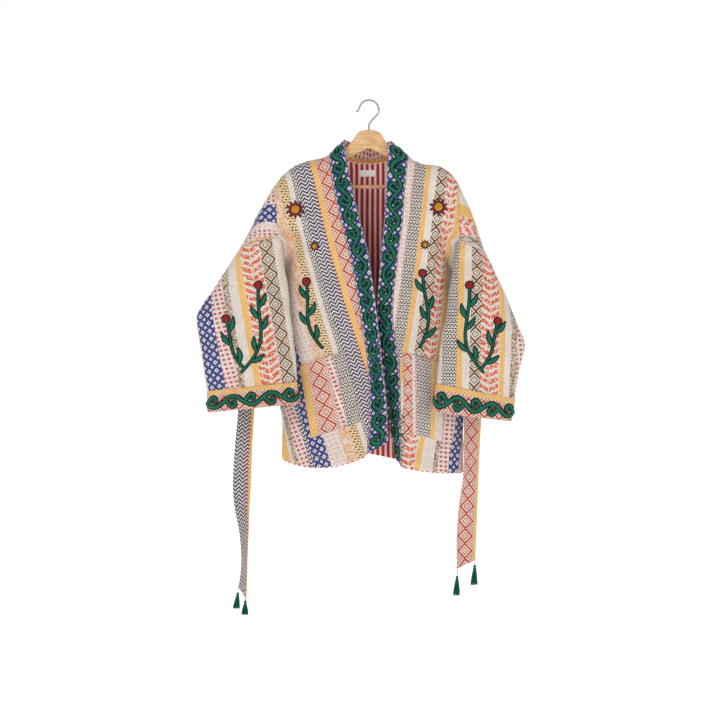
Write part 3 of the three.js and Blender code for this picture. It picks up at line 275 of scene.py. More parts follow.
def spread(starts, ends, count):
    return mix(starts[:, None], ends[:, None], np.linspace(0, 1, count + 1))


# Patches: a grid of points, whether it is turned, and the flat cloth's coordinates.
# The flat coordinates follow the cloth round its folds and run straight down its length.
def flat_width(grid):
    """How far each point is along its row, with what the row drops left out."""
    step = np.diff(grid, axis=1)
    reach = np.sign(step[..., 0]) * np.hypot(step[..., 0], step[..., 1])
    return np.concatenate([grid[:, :1, 0], grid[:, :1, 0] + np.cumsum(reach, axis=1)], axis=1)


class Patch:
    def __init__(self, grid, flip, flat):
        self.grid, self.flip, self.flat = grid, flip, flat


def body_patches(side):
    turned = side == "right"
    cut = {"front": head_starts(side, "front", FRONT_AT), "back": head_starts(side, "back", BACK_AT)}
    cut["back"][0] = cut["front"][0]
    grids = {}
    for which, at, points in (("front", FRONT_AT, front_points), ("back", BACK_AT, back_points)):
        starts = cut[which]
        none, whole = np.zeros(len(at)), np.ones(len(at))
        grids[which] = points(side, at, spread(none, starts, BODY_ACROSS))
        grids[which + "_head"] = points(side, at, spread(starts, whole, HEAD_ACROSS))
        grids[which + "_edge"] = points(side, at, whole[:, None])[:, 0]
    for name in ("", "_head"):
        grids["back" + name][0] = grids["front" + name][0]
    below = UNDERARM["back"] * PER_SECTION
    grids["back_edge"][0] = grids["front_edge"][0]
    grids["back_edge"][below:] = grids["front_edge"][below + PER_SECTION:]
    grids["back"][below:, -1] = grids["back_edge"][below:]
    patches = {}
    for which in ("front", "back"):
        flip = turned if which == "front" else not turned
        grid = grids[which]
        flat = np.stack([flat_width(grid), grid[..., 2]], -1)
        patches[which] = Patch(grid, flip, flat)
        rows = int(np.argmax(cut[which] >= 1)) + 1
        head = grids[which + "_head"][:rows]
        start = flat_width(grid)[:rows, -1:]
        flat = np.stack([flat_width(head) - head[:, :1, 0] + start, head[..., 2]], -1)
        patches[which + "_head"] = Patch(head, flip, flat)
    down = grids["front_edge"][: UNDERARM["front"] * PER_SECTION + 1]
    up = grids["back_edge"][: below][::-1]
    hole = np.concatenate([down, up])
    patches["sleeve"] = tube_patch(hole, SLEEVE[side], side, SLEEVE_PER_RING)
    patches["cuff"] = tube_patch(None, CUFF[side], side, CUFF_DOWN)
    patches["band"] = band_patch(side, grids)
    return patches


def tube_patch(hole, rings, side, per_ring):
    points = ring_points(rings, RING_DEGREES)
    if hole is not None:
        points = np.concatenate([hole[None], points])
    count = (len(points) - 1) * per_ring
    at = np.arange(count + 1) / per_ring
    grid = smooth(points, at)
    grid[:, -1] = grid[:, 0]
    step = np.linalg.norm(np.diff(grid, axis=1), axis=2)
    around = np.concatenate([np.zeros((len(grid), 1)), np.cumsum(step, axis=1)], axis=1)
    inner = int(np.argmin(np.abs(RING_DEGREES - 90)))
    width = grid[:, inner:inner + 1, 0] - OUT[side] * (around - around[:, inner:inner + 1])
    return Patch(grid, side == "left", np.stack([width, grid[..., 2]], -1))


def band_patch(side, grids):
    edges = lambda t: np.stack([t["edgeX"], t["edgeY"], t["edgeZ"]], -1)
    front_edge = smooth(edges(FRONT[side]), FRONT_AT)
    neck = edges(BACK[side])[: BACK_CENTRE + 1]
    neck = np.concatenate([neck, neck[BACK_CENTRE - 1:BACK_CENTRE] * [-1, 1, 1]])
    at = BACK_AT[1: BACK_CENTRE * PER_SECTION + 1]
    seam = np.concatenate([grids["front"][::-1, 0], grids["back"][1: len(at) + 1, 0]])
    edge = np.concatenate([front_edge[::-1], smooth(neck, at)])
    s = np.linspace(0, 1, BAND_ACROSS + 1)[None, :, None]
    grid = mix(seam[:, None], edge[:, None], s)
    along = distances(seam)
    wide = np.linalg.norm(edge - seam, axis=1)[:, None] * s[0, :, 0]
    flat = np.stack([wide, np.tile(along[:, None], (1, BAND_ACROSS + 1))], -1)
    return Patch(grid, side == "right", flat)


SIDES = ("left", "right")
patches = {side: body_patches(side) for side in SIDES}
all_patches = [patch for side in SIDES for patch in patches[side].values()]


# Smooth normals of the whole garment
def keys(points):
    return np.round(points.reshape(-1, 3) / WELD).astype(np.int64)


def grid_normals(patch):
    along = np.gradient(patch.grid, axis=0)
    across = np.gradient(patch.grid, axis=1)
    normal = np.cross(across, along)
    if patch.flip:
        normal = -normal
    length = np.linalg.norm(normal, axis=2, keepdims=True)
    return np.where(length > 1e-9, normal / np.maximum(length, 1e-9), 0)


def share_normals(group):
    every = np.concatenate([keys(patch.grid) for patch in group])
    _, index = np.unique(every, axis=0, return_inverse=True)
    index = index.reshape(-1)
    own = np.concatenate([grid_normals(patch).reshape(-1, 3) for patch in group])
    total = np.zeros((index.max() + 1, 3))
    np.add.at(total, index, own)
    length = np.linalg.norm(total, axis=1, keepdims=True)
    shared = (total / np.maximum(length, 1e-9))[index]
    done = 0
    for patch in group:
        size = patch.grid.shape[0] * patch.grid.shape[1]
        patch.normals = shared[done:done + size].reshape(patch.grid.shape)
        done += size


share_normals(all_patches)

# Creases, seen from the front and from behind: each runs between two points and is a soft
# trough where its depth is below zero and a ridge where it is above.
CREASE_COLUMNS = "x0 z0 x1 z1 width depth"
CREASES = {
    "front": table(CREASE_COLUMNS, [
        [-205, -235, -186, -420, 9, -3.0],
        [-186, -330, -160, -455, 12, 2.2],
        [-112, -190, -78, -330, 17, 1.6],
        [-150, -250, -104, -420, 13, -1.5],
        [-60, -420, -38, -560, 14, 1.4],
        [-96, -480, -64, -610, 16, -1.6],
        [-176, -480, -150, -620, 14, 2.0],
        [-206, -560, -188, -690, 13, -2.2],
        [-186, -700, -176, -850, 12, 2.0],
        [-128, -800, -120, -872, 12, -1.6],
        [-60, -770, -52, -868, 14, 1.6],
        [-16, -560, -6, -700, 12, -1.3],
        [206, -240, 192, -420, 9, -2.8],
        [176, -330, 158, -460, 13, 2.0],
        [120, -200, 108, -330, 15, 1.5],
        [140, -430, 122, -590, 14, -1.6],
        [178, -500, 172, -620, 15, 1.9],
        [210, -560, 204, -680, 12, -2.0],
        [204, -690, 206, -860, 13, 1.8],
        [134, -830, 130, -896, 12, 1.5],
        [96, -430, 84, -520, 12, 1.2],
        [-276, -362, -262, -520, 15, 2.4],
        [-240, -350, -226, -500, 10, -2.6],
        [-322, -430, -296, -600, 18, -2.0],
        [-360, -500, -330, -640, 15, 1.8],
        [-272, -560, -250, -690, 16, 1.8],
        [-214, -500, -204, -660, 12, -1.6],
        [-346, -640, -340, -740, 12, -1.2],
        [-262, -640, -256, -736, 14, 1.4],
        [262, -372, 252, -520, 14, 2.2],
        [232, -350, 222, -500, 10, -2.4],
        [296, -450, 282, -600, 16, -1.8],
        [322, -520, 316, -650, 14, 1.7],
        [246, -560, 240, -700, 15, 1.6],
        [208, -520, 196, -680, 11, -1.5],
        [300, -650, 300, -760, 13, 1.3],
        [-256, -236, -238, -330, 14, 1.8],
        [244, -246, 236, -336, 13, 1.6],
    ]),
    "back": table(CREASE_COLUMNS, [
        [-214, -260, -190, -440, 13, -2.4],
        [-170, -330, -146, -520, 18, 1.9],
        [-110, -230, -96, -420, 16, -1.4],
        [-60, -300, -50, -560, 20, 1.5],
        [-8, -420, 4, -640, 18, -1.5],
        [58, -280, 66, -520, 19, 1.6],
        [118, -250, 124, -430, 15, -1.5],
        [176, -320, 160, -500, 17, 1.9],
        [212, -260, 200, -440, 12, -2.3],
        [-200, -560, -186, -700, 15, 1.8],
        [-150, -600, -140, -850, 18, -1.6],
        [-84, -640, -80, -856, 17, 1.7],
        [-20, -700, -16, -858, 15, -1.3],
        [44, -650, 50, -858, 18, 1.5],
        [112, -600, 118, -864, 16, -1.6],
        [176, -580, 170, -720, 14, 1.8],
        [206, -700, 202, -872, 14, -1.5],
        [-330, -430, -312, -600, 17, 1.9],
        [-280, -400, -262, -560, 13, -2.0],
        [-366, -520, -350, -680, 14, -1.5],
        [-250, -580, -236, -700, 15, 1.6],
        [300, -440, 292, -600, 16, 1.8],
        [258, -400, 248, -560, 12, -1.9],
        [330, -540, 322, -680, 14, -1.4],
        [226, -600, 216, -720, 14, 1.5],
        [-276, -250, -262, -370, 15, 1.5],
        [256, -256, 250, -380, 14, 1.4],
    ]),
}
TAPER = 0.35  # share of a crease over which each end fades
CREASED = 1.55
SWELLS = table("wide high turn size", [
    [74, 96, 0.4, 0.55],
    [51, 63, 2.1, 0.4],
    [33, 41, 4.4, 0.22],
])


def crease_depth(creases, x, z):
    depth = np.zeros_like(x)
    for x0, z0, x1, z1, width, size in zip(*(creases[name] for name in CREASE_COLUMNS.split())):
        dx, dz = x1 - x0, z1 - z0
        length = math.hypot(dx, dz)
        t = ((x - x0) * dx + (z - z0) * dz) / length**2
        bend = 5 * np.sin(3.1 * t + x0)
        off = ((x - x0) * dz - (z - z0) * dx) / length + bend
        fade = np.clip(np.minimum(t, 1 - t) / TAPER, 0, 1)
        depth += size * fade * fade * (3 - 2 * fade) * np.exp(-((off / width) ** 2))
    return depth


def drape(patch):
    """Moves a patch's points out or in by its creases."""
    x, y, z = (patch.grid[..., k] for k in range(3))
    facing = np.clip(0.5 - 0.9 * patch.normals[..., 1], 0, 1)
    depth = facing * crease_depth(CREASES["front"], x, z)
    depth += (1 - facing) * crease_depth(CREASES["back"], x, z)
    depth *= CREASED
    for wide, high, turn, size in zip(*(SWELLS[name] for name in ("wide", "high", "turn", "size"))):
        swell = np.sin(2 * math.pi * (x + 0.5 * y) / wide + turn)
        depth += size * swell * np.sin(2 * math.pi * z / high)
    return depth


for patch in all_patches:
    patch.grid = patch.grid + patch.normals * drape(patch)[..., None]


# Making meshes
def new_object(name, points, faces, materials, smooth_angle=50):
    """An object from points in millimetres."""
    mesh = bpy.data.meshes.new(name)
    corners = [tuple(int(k) for k in face) for face in faces]
    mesh.from_pydata((np.asarray(points) * MM).tolist(), [], corners)
    mesh.shade_smooth()
    mesh.set_sharp_from_angle(angle=math.radians(smooth_angle))
    for material in materials:
        mesh.materials.append(material)
    piece = bpy.data.objects.new(name, mesh)
    bpy.context.scene.collection.objects.link(piece)
    return piece


def set_uv(mesh, corners):
    layer = mesh.uv_layers.new(name="UVMap")
    layer.data.foreach_set("uv", (np.asarray(corners, float) * MM).astype(np.float32).ravel())


def grid_faces(rows, columns, start=0):
    i, j = np.meshgrid(np.arange(rows - 1), np.arange(columns - 1), indexing="ij")
    a = start + i * columns + j
    return np.stack([a, a + 1, a + columns + 1, a + columns], -1).reshape(-1, 4)


ROUNDED = 0.9  # how far a wall's edge is rounded over
DITCH = 0.2  # how far each wall keeps back from a seam


def face_crosses(points, faces):
    """The cross product of each face's diagonals."""
    first = points[faces[:, 2]] - points[faces[:, 0]]
    return np.cross(first, points[faces[:, 3]] - points[faces[:, 1]])


class Wall:
    """A closed wall of cloth on some patches, with its outer face, edge and inner face."""

    def __init__(self, name, group, inner, outer, materials, hem=None, hem_drop=0):
        points, normals, faces, flats = [], [], [], []
        total = 0
        for patch in group:
            rows, columns = patch.grid.shape[:2]
            quads = grid_faces(rows, columns, total)
            flat = patch.flat.reshape(-1, 2)[quads - total]
            if patch.flip:
                quads, flat = quads[:, ::-1], flat[:, ::-1]
            points.append(patch.grid.reshape(-1, 3))
            normals.append(patch.normals.reshape(-1, 3))
            faces.append(quads)
            flats.append(flat)
            total += rows * columns
        points, normals = np.concatenate(points), np.concatenate(normals)
        faces, flats = np.concatenate(faces), np.concatenate(flats)
        _, first, index = np.unique(keys(points), axis=0, return_index=True, return_inverse=True)
        index = index.reshape(-1)
        points, normals, faces = points[first], normals[first], index[faces]
        # thin slivers where a patch narrows to a point are dropped
        area = np.linalg.norm(face_crosses(points, faces), axis=1)
        kept = area > 1e-4
        faces, flats = faces[kept], flats[kept]
        # the patches face inwards in their own order, so both are turned to face out
        facing = face_crosses(points, faces)
        if np.sum(facing * normals[faces[:, 0]]) < 0:
            faces, flats = faces[:, ::-1], flats[:, ::-1]
        edges = {}
        for face in faces:
            for a, b in zip(face, np.roll(face, -1)):
                if a != b:
                    edges[(a, b)] = True
        rim = [(a, b) for a, b in edges if (b, a) not in edges]
        pull = np.zeros_like(points)
        for a, b in rim:
            inward = np.cross(normals[a], points[b] - points[a])
            inward /= max(np.linalg.norm(inward), 1e-9)
            pull[a] += inward
            pull[b] += inward
        size = np.linalg.norm(pull, axis=1, keepdims=True)
        pull = np.where(size > 1e-9, pull / np.maximum(size, 1e-9), 0)
        count = len(points)
        lower = np.zeros(count)
        if hem is not None:
            lower[np.nonzero(hem(points) & (size[:, 0] > 0))[0]] = hem_drop
        thick = outer - inner
        top = points + normals * outer + pull * (DITCH + ROUNDED * min(1, thick / 2))
        under = points + normals * inner + pull * DITCH
        under[:, 2] -= lower
        rim_points = sorted({k for edge in rim for k in edge})
        place = {k: 2 * count + n for n, k in enumerate(rim_points)}
        high = points[rim_points] + normals[rim_points] * (outer - 0.45 * thick)
        high = high + pull[rim_points] * DITCH
        everything = np.concatenate([top, under, high])
        outer_faces, outer_flats, inner_faces, inner_flats = [], [], [], []
        for face, flat in zip(faces, flats):
            keep = [n for n in range(4) if face[n] != face[(n + 1) % 4]]
            outer_faces.append([face[n] for n in keep])
            outer_flats.extend(flat[n] for n in keep)
            inner_faces.append([face[n] + count for n in reversed(keep)])
            inner_flats.extend(flat[n] for n in reversed(keep))
        edge_faces, edge_flats, kinds = [], [], []
        at = {}
        for face, flat in zip(faces, flats):
            for k, value in zip(face, flat):
                at[k] = value
        for a, b in rim:
            edge_faces.append([b, a, place[a], place[b]])
            edge_faces.append([place[b], place[a], a + count, b + count])
            edge_flats.extend([at[b], at[a], at[a], at[b]] * 2)
            kinds.extend([0, 1])
        all_faces = outer_faces + inner_faces + edge_faces
        self.piece = new_object(name, everything, all_faces, materials)
        set_uv(self.piece.data, outer_flats + inner_flats + edge_flats)
        slots = [0] * len(outer_faces) + [1] * len(inner_faces) + kinds
        if len(materials) > 1:
            self.piece.data.polygons.foreach_set("material_index", slots)
        self.tree = BVHTree.FromPolygons(top.tolist(), [[int(k) for k in face] for face in outer_faces])
        self.normals = normals
        self.outer_faces = outer_faces

    def seen(self, x, z, height, behind=False):
        """The places on the outer face that are seen from the front at x and z, moved out."""
        x, z = np.broadcast_arrays(np.asarray(x, float), np.asarray(z, float))
        found = []
        ahead = -1 if behind else 1
        for px, pz, h in zip(x.ravel(), z.ravel(), np.broadcast_to(height, x.shape).ravel()):
            hit, _, index, _ = self.tree.ray_cast(Vector((px, -900 * ahead, pz)), Vector((0, ahead, 0)))
            if hit is None:
                hit, _, index, _ = self.tree.find_nearest(Vector((px, -70 * ahead, pz)))
            corners = self.outer_faces[index]
            normal = self.normals[corners].mean(axis=0)
            found.append(np.array(hit) + normal / np.linalg.norm(normal) * h)
        return np.array(found).reshape(x.shape + (3,))


# Materials
class Wire:
    """A value in a material, with arithmetic that adds Math nodes."""

    def __init__(self, tree, socket):
        self.tree, self.socket = tree, socket

    def math(self, operation, *others):
        node = self.tree.nodes.new("ShaderNodeMath")
        node.operation = operation
        for slot, value in zip(node.inputs, (self, *others)):
            if isinstance(value, Wire):
                self.tree.links.new(value.socket, slot)
            else:
                slot.default_value = value
        return Wire(self.tree, node.outputs[0])

    def __add__(self, other):
        return self.math("ADD", other)

    def __sub__(self, other):
        return self.math("SUBTRACT", other)

    def __mul__(self, other):
        return self.math("MULTIPLY", other)

    def __truediv__(self, other):
        return self.math("DIVIDE", other)

    def below(self, other):
        return self.math("LESS_THAN", other)

    def abs(self):
        return self.math("ABSOLUTE")

    def saw(self, period):
        """From 0 to 1 over each period."""
        return (self / period).math("FRACT")

    def wave(self, period):
        """Up and down between 0 and 1 over each period."""
        return ((self / period).math("FRACT") * 2 - 1).abs()

    def largest(self, other):
        return self.math("MAXIMUM", other)

    def smallest(self, other):
        return self.math("MINIMUM", other)


def new_material(name, roughness, sheen=0.0, sheen_roughness=0.5, metallic=0.0, coat=0.0):
    material = bpy.data.materials.new(name)
    material.use_nodes = True
    tree = material.node_tree
    shader = tree.nodes["Principled BSDF"]
    shader.inputs["Roughness"].default_value = roughness
    shader.inputs["Sheen Weight"].default_value = sheen
    shader.inputs["Sheen Roughness"].default_value = sheen_roughness
    shader.inputs["Metallic"].default_value = metallic
    shader.inputs["Coat Weight"].default_value = coat
    shader.inputs["Specular IOR Level"].default_value = 0.25
    return material, tree, shader


def linear(colour):
    """A colour of 0 to 255 steps as the renderer counts it."""
    share = np.array(colour, float) / 255
    low = share / 12.92
    high = ((share + 0.055) / 1.055) ** 2.4
    return [float(v) for v in np.where(share <= 0.04045, low, high)] + [1.0]


def flat_coordinates(tree):
    """The flat cloth's coordinates in millimetres: across and along."""
    uv = tree.nodes.new("ShaderNodeUVMap")
    uv.uv_map = "UVMap"
    split = tree.nodes.new("ShaderNodeSeparateXYZ")
    tree.links.new(uv.outputs["UV"], split.inputs[0])
    return Wire(tree, split.outputs["X"]) * 1000, Wire(tree, split.outputs["Y"]) * 1000


def noise(tree, scale, detail=3.0, source="Object", stretch=(1, 1, 1)):
    """A noise between 0 and 1, with scale in waves a metre."""
    where = tree.nodes.new("ShaderNodeTexCoord")
    mapping = tree.nodes.new("ShaderNodeMapping")
    mapping.inputs["Scale"].default_value = stretch
    texture = tree.nodes.new("ShaderNodeTexNoise")
    texture.inputs["Scale"].default_value = scale
    texture.inputs["Detail"].default_value = detail
    tree.links.new(where.outputs[source], mapping.inputs["Vector"])
    tree.links.new(mapping.outputs["Vector"], texture.inputs["Vector"])
    return Wire(tree, texture.outputs["Fac"])


def ramp(tree, value, stops, constant=True):
    node = tree.nodes.new("ShaderNodeValToRGB")
    node.color_ramp.interpolation = "CONSTANT" if constant else "LINEAR"
    elements = node.color_ramp.elements
    while len(elements) > 1:
        elements.remove(elements[-1])
    elements[0].position = stops[0][0]
    elements[0].color = stops[0][1]
    for position, colour in stops[1:]:
        elements.new(position).color = colour
    tree.links.new(value.socket, node.inputs["Fac"])
    return node.outputs["Color"]


def shades(tree, value, *stops):
    """Colours of 0 to 255 steps that run into each other."""
    return ramp(tree, value, [(place, linear(colour)) for place, colour in stops], False)


def mixed(tree, factor, first, second, blend="MIX"):
    node = tree.nodes.new("ShaderNodeMix")
    node.data_type = "RGBA"
    node.blend_type = blend
    for slot, value in ((node.inputs[0], factor), (node.inputs[6], first), (node.inputs[7], second)):
        if isinstance(value, Wire):
            tree.links.new(value.socket, slot)
        elif isinstance(value, bpy.types.NodeSocket):
            tree.links.new(value, slot)
        else:
            slot.default_value = value
    return node.outputs[2]


def bump(tree, shader, height, strength, distance):
    node = tree.nodes.new("ShaderNodeBump")
    node.inputs["Strength"].default_value = strength
    node.inputs["Distance"].default_value = distance
    tree.links.new(height.socket, node.inputs["Height"])
    tree.links.new(node.outputs["Normal"], shader.inputs["Normal"])


# Thread colours
WHITE = (222, 213, 205)
CREAM = (214, 202, 188)
YELLOW = (226, 172, 86)
PALE_YELLOW = (238, 214, 172)
ORANGE = (214, 96, 54)
RUST = (190, 72, 38)
NAVY = (38, 44, 90)
BLUE = (30, 54, 124)
BROWN = (112, 74, 12)
TAN = (124, 90, 62)
MAROON = (116, 30, 46)
PINK = (192, 86, 92)
BLACK = (26, 22, 32)

# Motifs woven in the stripes: their ground, figure and pattern
MOTIFS = {
    "yellow": (YELLOW, PALE_YELLOW, "grain"),
    "white": (WHITE, CREAM, "grain"),
    "dots": (WHITE, PALE_YELLOW, "dots"),
    "gold_dots": ((232, 190, 120), ORANGE, "blocks"),
    "red_dashes": (WHITE, (196, 60, 66), "dashes"),
    "speckle": (CREAM, TAN, "speckle"),
    "dashes": (WHITE, PINK, "dashes"),
    "faint": (WHITE, (222, 184, 176), "dashes"),
    "gold_speckle": (WHITE, (222, 150, 70), "speckle"),
    "zigzag": (WHITE, NAVY, "zigzag"),
    "maroon_zigzag": ((222, 200, 200), MAROON, "zigzag"),
    "blue": (WHITE, BLUE, "diamonds"),
    "blocks": (PALE_YELLOW, BROWN, "blocks"),
    "hounds": (WHITE, BLACK, "hounds"),
    "maroon_hounds": (WHITE, MAROON, "hounds"),
    "lattice": (WHITE, RUST, "nested"),
    "chevrons": (WHITE, ORANGE, "leaves"),
    "brown_nested": (WHITE, BROWN, "nested"),
}
PATTERNS = ["grain", "dots", "speckle", "dashes", "zigzag", "diamonds", "blocks"]
PATTERNS += ["hounds", "nested", "leaves"]


def pattern(kind, tree, c, h, v):
    """Where a motif's figure shows: c is across from the stripe's middle, h its half width
    and v along it."""
    if kind == "dots":
        return ((c + 3).wave(15) * 7.5).below(1.4) * (v.wave(9) * 4.5).below(2.4)
    if kind == "speckle":
        return noise(tree, 330, 1.0).math("GREATER_THAN", 0.5)
    if kind == "dashes":
        row = (v / 11).math("FLOOR")
        return v.saw(11).below(0.52) * (c + row * 1.5).saw(12.5).below(0.62)
    if kind == "zigzag":
        return (v + c.wave(19) * 9.5).saw(9.4).below(0.55)
    if kind == "diamonds":
        reach = c.wave(19) * 9.5 + v.wave(19) * 9.5
        other = (c + 9.5).wave(19) * 9.5 + (v + 9.5).wave(19) * 9.5
        blossom = reach.below(5.8) * (reach.below(2.1) * -1 + 1)
        light = blossom.largest(other.below(4.3) * (other.below(1.2) * -1 + 1))
        return light * -1 + 1
    if kind == "blocks":
        row = (v / 6.6).math("FLOOR")
        return (v + c * 0.25).saw(6.6).below(0.62) * (c + row * 4.6).saw(9.2).below(0.66)
    if kind == "hounds":
        one = (c + v * 0.8).saw(7.6).below(0.6)
        two = (c - v * 0.8).saw(7.6).below(0.55)
        return (one * two).largest(v.saw(7.6).below(0.3) * c.saw(3.8).below(0.7))
    if kind == "nested":
        reach = c.abs() + v.wave(36) * 18
        rings = (reach - 17).abs().saw(7.4).below(0.42)
        ticks = (v.saw(4.2).below(0.4)) * (reach - 17).abs().below(4.6)
        return rings.largest(ticks * (reach - 17).math("GREATER_THAN", 0))
    if kind == "leaves":
        lean = (v - c.abs() * 0.55 + (noise(tree, 130, 1.0) - 0.5) * 9).saw(17)
        leaf = (lean - 0.5).abs().below(0.31)
        broken = (noise(tree, 240, 0.0) - 0.38).math("GREATER_THAN", 0)
        return leaf * broken * (c.abs() / h).below(0.95) * c.abs().math("GREATER_THAN", 0.9)
    return v.saw(4.4).below(0.5) * (c + (v / 4.4).math("FLOOR") * 3.1).saw(6.2).below(0.5)


def cloth_material(name, stripes, rough=0.92):
    """Woven stripes. stripes is a list of a motif and where it starts, and ends with None."""
    material, tree, shader = new_material(name, rough, sheen=0.06, sheen_roughness=0.6)
    across, along = flat_coordinates(tree)
    low, high = stripes[0][1], stripes[-1][1]
    span = high - low
    wobble = (noise(tree, 14, 1.0) - 0.5) * 3.0
    place = (across + wobble - low) / span
    grounds, figures, facts = [], [], []
    used = []
    for (motif, start), (_, end) in zip(stripes, stripes[1:]):
        ground, figure, kind = MOTIFS[motif]
        position = (start - low) / span
        centre = ((start + end) / 2 - low) / span
        half = (end - start) / 2 / span
        grounds.append((position, linear(ground)))
        figures.append((position, linear(figure)))
        number = PATTERNS.index(kind)
        facts.append((position, [centre, half, (number + 0.5) / len(PATTERNS), 1.0]))
        if kind not in used:
            used.append(kind)
    ground = ramp(tree, place, grounds)
    figure = ramp(tree, place, figures)
    split = tree.nodes.new("ShaderNodeSeparateColor")
    tree.links.new(ramp(tree, place, facts), split.inputs[0])
    centre = Wire(tree, split.outputs[0]) * span + low
    half = Wire(tree, split.outputs[1]) * span
    number = Wire(tree, split.outputs[2]) * len(PATTERNS)
    c = across - centre
    total = None
    for kind in used:
        here = (number - (PATTERNS.index(kind) + 0.5)).abs().below(0.45)
        part = pattern(kind, tree, c, half, along) * here
        total = part if total is None else total + part
    # threads of the figure are broken by those of the ground
    fray = noise(tree, 900, 1.0)
    shown = total * ((fray - 0.2) * 5).smallest(1).largest(0)
    colour = mixed(tree, shown, ground, figure)
    # slubs and soft changes of tone
    tone = noise(tree, 26, 3.0)
    soft = shades(tree, tone, (0.3, (196, 186, 176)), (0.7, (255, 252, 246)))
    colour = mixed(tree, 0.2, colour, soft, "MULTIPLY")
    slub = noise(tree, 420, 2.0, stretch=(1, 1, 0.25))
    soft = shades(tree, slub, (0.3, (170, 162, 152)), (0.62, (255, 255, 255)))
    colour = mixed(tree, 0.28, colour, soft, "MULTIPLY")
    tree.links.new(colour, shader.inputs["Base Color"])
    weft = along.wave(1.5)
    warp = across.wave(1.9)
    # rows of hand stitching pucker the cloth between them
    row = (across + (noise(tree, 40, 1.0) - 0.5) * 5).wave(7)
    pucker = row * (along + noise(tree, 70, 1.0) * 12).wave(6)
    height = weft * 0.5 + warp * 0.3 + fray * 0.8 + pucker * 3.0 + noise(tree, 75, 2.0) * 2.5
    bump(tree, shader, height, 0.55, 0.0006)
    return material


def striped_lining(name):
    """Red and cream stripes with a fine darker line in the red."""
    material, tree, shader = new_material(name, 0.85, sheen=0.15)
    across, along = flat_coordinates(tree)
    share = (across + (noise(tree, 16, 1.0) - 0.5) * 1.6).saw(13)
    stops = [
        (0.0, linear((242, 226, 216))),
        (0.42, linear((192, 50, 62))),
        (0.66, linear((150, 28, 44))),
        (0.74, linear((196, 54, 66))),
    ]
    colour = ramp(tree, share, stops)
    slub = noise(tree, 380, 2.0, stretch=(1, 1, 0.3))
    soft = shades(tree, slub, (0.3, (150, 140, 136)), (0.65, (255, 255, 255)))
    colour = mixed(tree, 0.25, colour, soft, "MULTIPLY")
    tree.links.new(colour, shader.inputs["Base Color"])
    bump(tree, shader, across.wave(0.9) * 0.5 + along.wave(0.8) * 0.5, 0.4, 0.0003)
    return material


def thread_material(name, dark, light, roughness=0.55, sheen=0.3, period=0.9):
    """Stitched thread: fine ridges across the stroke, with painted shade in the grooves between stitches
    and painted highlight on their ridges, and a random change of tone along it.
    """
    material, tree, shader = new_material(name, roughness, sheen=sheen, sheen_roughness=0.4)
    along = flat_coordinates(tree)[1]
    ridge = (along + (noise(tree, 300, 2.0) - 0.5) * 0.8).wave(period)
    tone = noise(tree, 160, 4.0)
    # the colour follows the ridges: painted shade in the grooves and painted highlight on the ridges,
    # mixed with a random tone
    value = ridge * 0.45 + tone * 0.6
    colour = shades(tree, value, (0.2, dark), (0.8, light))
    tree.links.new(colour, shader.inputs["Base Color"])
    bump(tree, shader, ridge + noise(tree, 900, 2.0) * 0.7, 0.6, 0.0004)
    return material


# Stripes of each piece: where each motif starts across the cloth
LEFT_FRONT = [
    ("yellow", -460), ("white", -442), ("speckle", -432), ("dashes", -421), ("zigzag", -392),
    ("blue", -382), ("faint", -342), ("gold_speckle", -303), ("blocks", -277), ("white", -257),
    ("hounds", -246), ("zigzag", -233), ("maroon_zigzag", -199), ("yellow", -194),
    ("lattice", -180), ("faint", -140), ("blue", -118), (None, -80),
]
RIGHT_FRONT = [
    ("faint", 60), ("maroon_hounds", 126), ("hounds", 131), ("yellow", 155), ("dots", 167),
    ("brown_nested", 183), ("chevrons", 207), ("yellow", 236), ("dots", 249), ("speckle", 280),
    ("dashes", 290), ("blue", 321), ("faint", 352), (None, 400),
]
LEFT_SLEEVE = [
    ("zigzag", -560), ("faint", -526), ("blue", -500), ("dashes", -456), ("speckle", -423),
    ("white", -409), ("yellow", -386), ("chevrons", -370), ("brown_nested", -320), ("dots", -288),
    ("gold_speckle", -262), ("blocks", -236), ("white", -214), ("hounds", -200), ("zigzag", -186),
    ("maroon_zigzag", -160), ("yellow", -154), ("lattice", -140), ("faint", -104),
    ("dashes", -84), ("blue", -60), (None, 0),
]
RIGHT_SLEEVE = [
    ("zigzag", 60), ("faint", 100), ("blue", 130), ("faint", 170), ("hounds", 188), ("yellow", 224),
    ("white", 236), ("brown_nested", 255), ("chevrons", 279), ("yellow", 325), ("dots", 336),
    ("speckle", 352), ("dashes", 368), ("blue", 394), ("faint", 434), ("zigzag", 460),
    ("maroon_zigzag", 494), ("yellow", 500), ("lattice", 514), (None, 560),
]
# The back is cut straight, so its stripes run down it: these repeat from side to side.
BACK_STRIPES = [
    ("blue", -330), ("faint", -296), ("gold_speckle", -262), ("blocks", -240), ("white", -220),
    ("hounds", -208), ("zigzag", -194), ("maroon_zigzag", -160), ("yellow", -154), ("lattice", -138),
    ("faint", -98), ("dashes", -76), ("blue", -46), ("faint", -8), ("gold_speckle", 26),
    ("blocks", 50), ("white", 70), ("hounds", 82), ("zigzag", 96), ("maroon_zigzag", 130),
    ("yellow", 136), ("lattice", 152), ("dots", 192), ("speckle", 216), ("dashes", 230),
    ("blue", 260), ("faint", 296), (None, 340),
]
LEFT_HEAD = [
    ("yellow", 130), ("faint", 196), ("dashes", 212), ("blue", 250), ("faint", 296),
    ("dashes", 318), ("gold_speckle", 345), ("blocks", 372), (None, 410),
]
RIGHT_HEAD = [
    ("dashes", 90), ("faint", 130), ("white", 190), ("yellow", 244), ("chevrons", 274),
    ("brown_nested", 322), ("white", 352), ("dots", 372), (None, 410),
]
LEFT_POCKET = [
    ("yellow", 0), ("lattice", 18), ("dashes", 68), ("maroon_hounds", 84), ("hounds", 88),
    ("maroon_hounds", 110), (None, 115),
]
RIGHT_POCKET = [
    ("lattice", 0), ("faint", 23), ("maroon_hounds", 31), ("hounds", 36), ("yellow", 70),
    ("dots", 83), (None, 108),
]
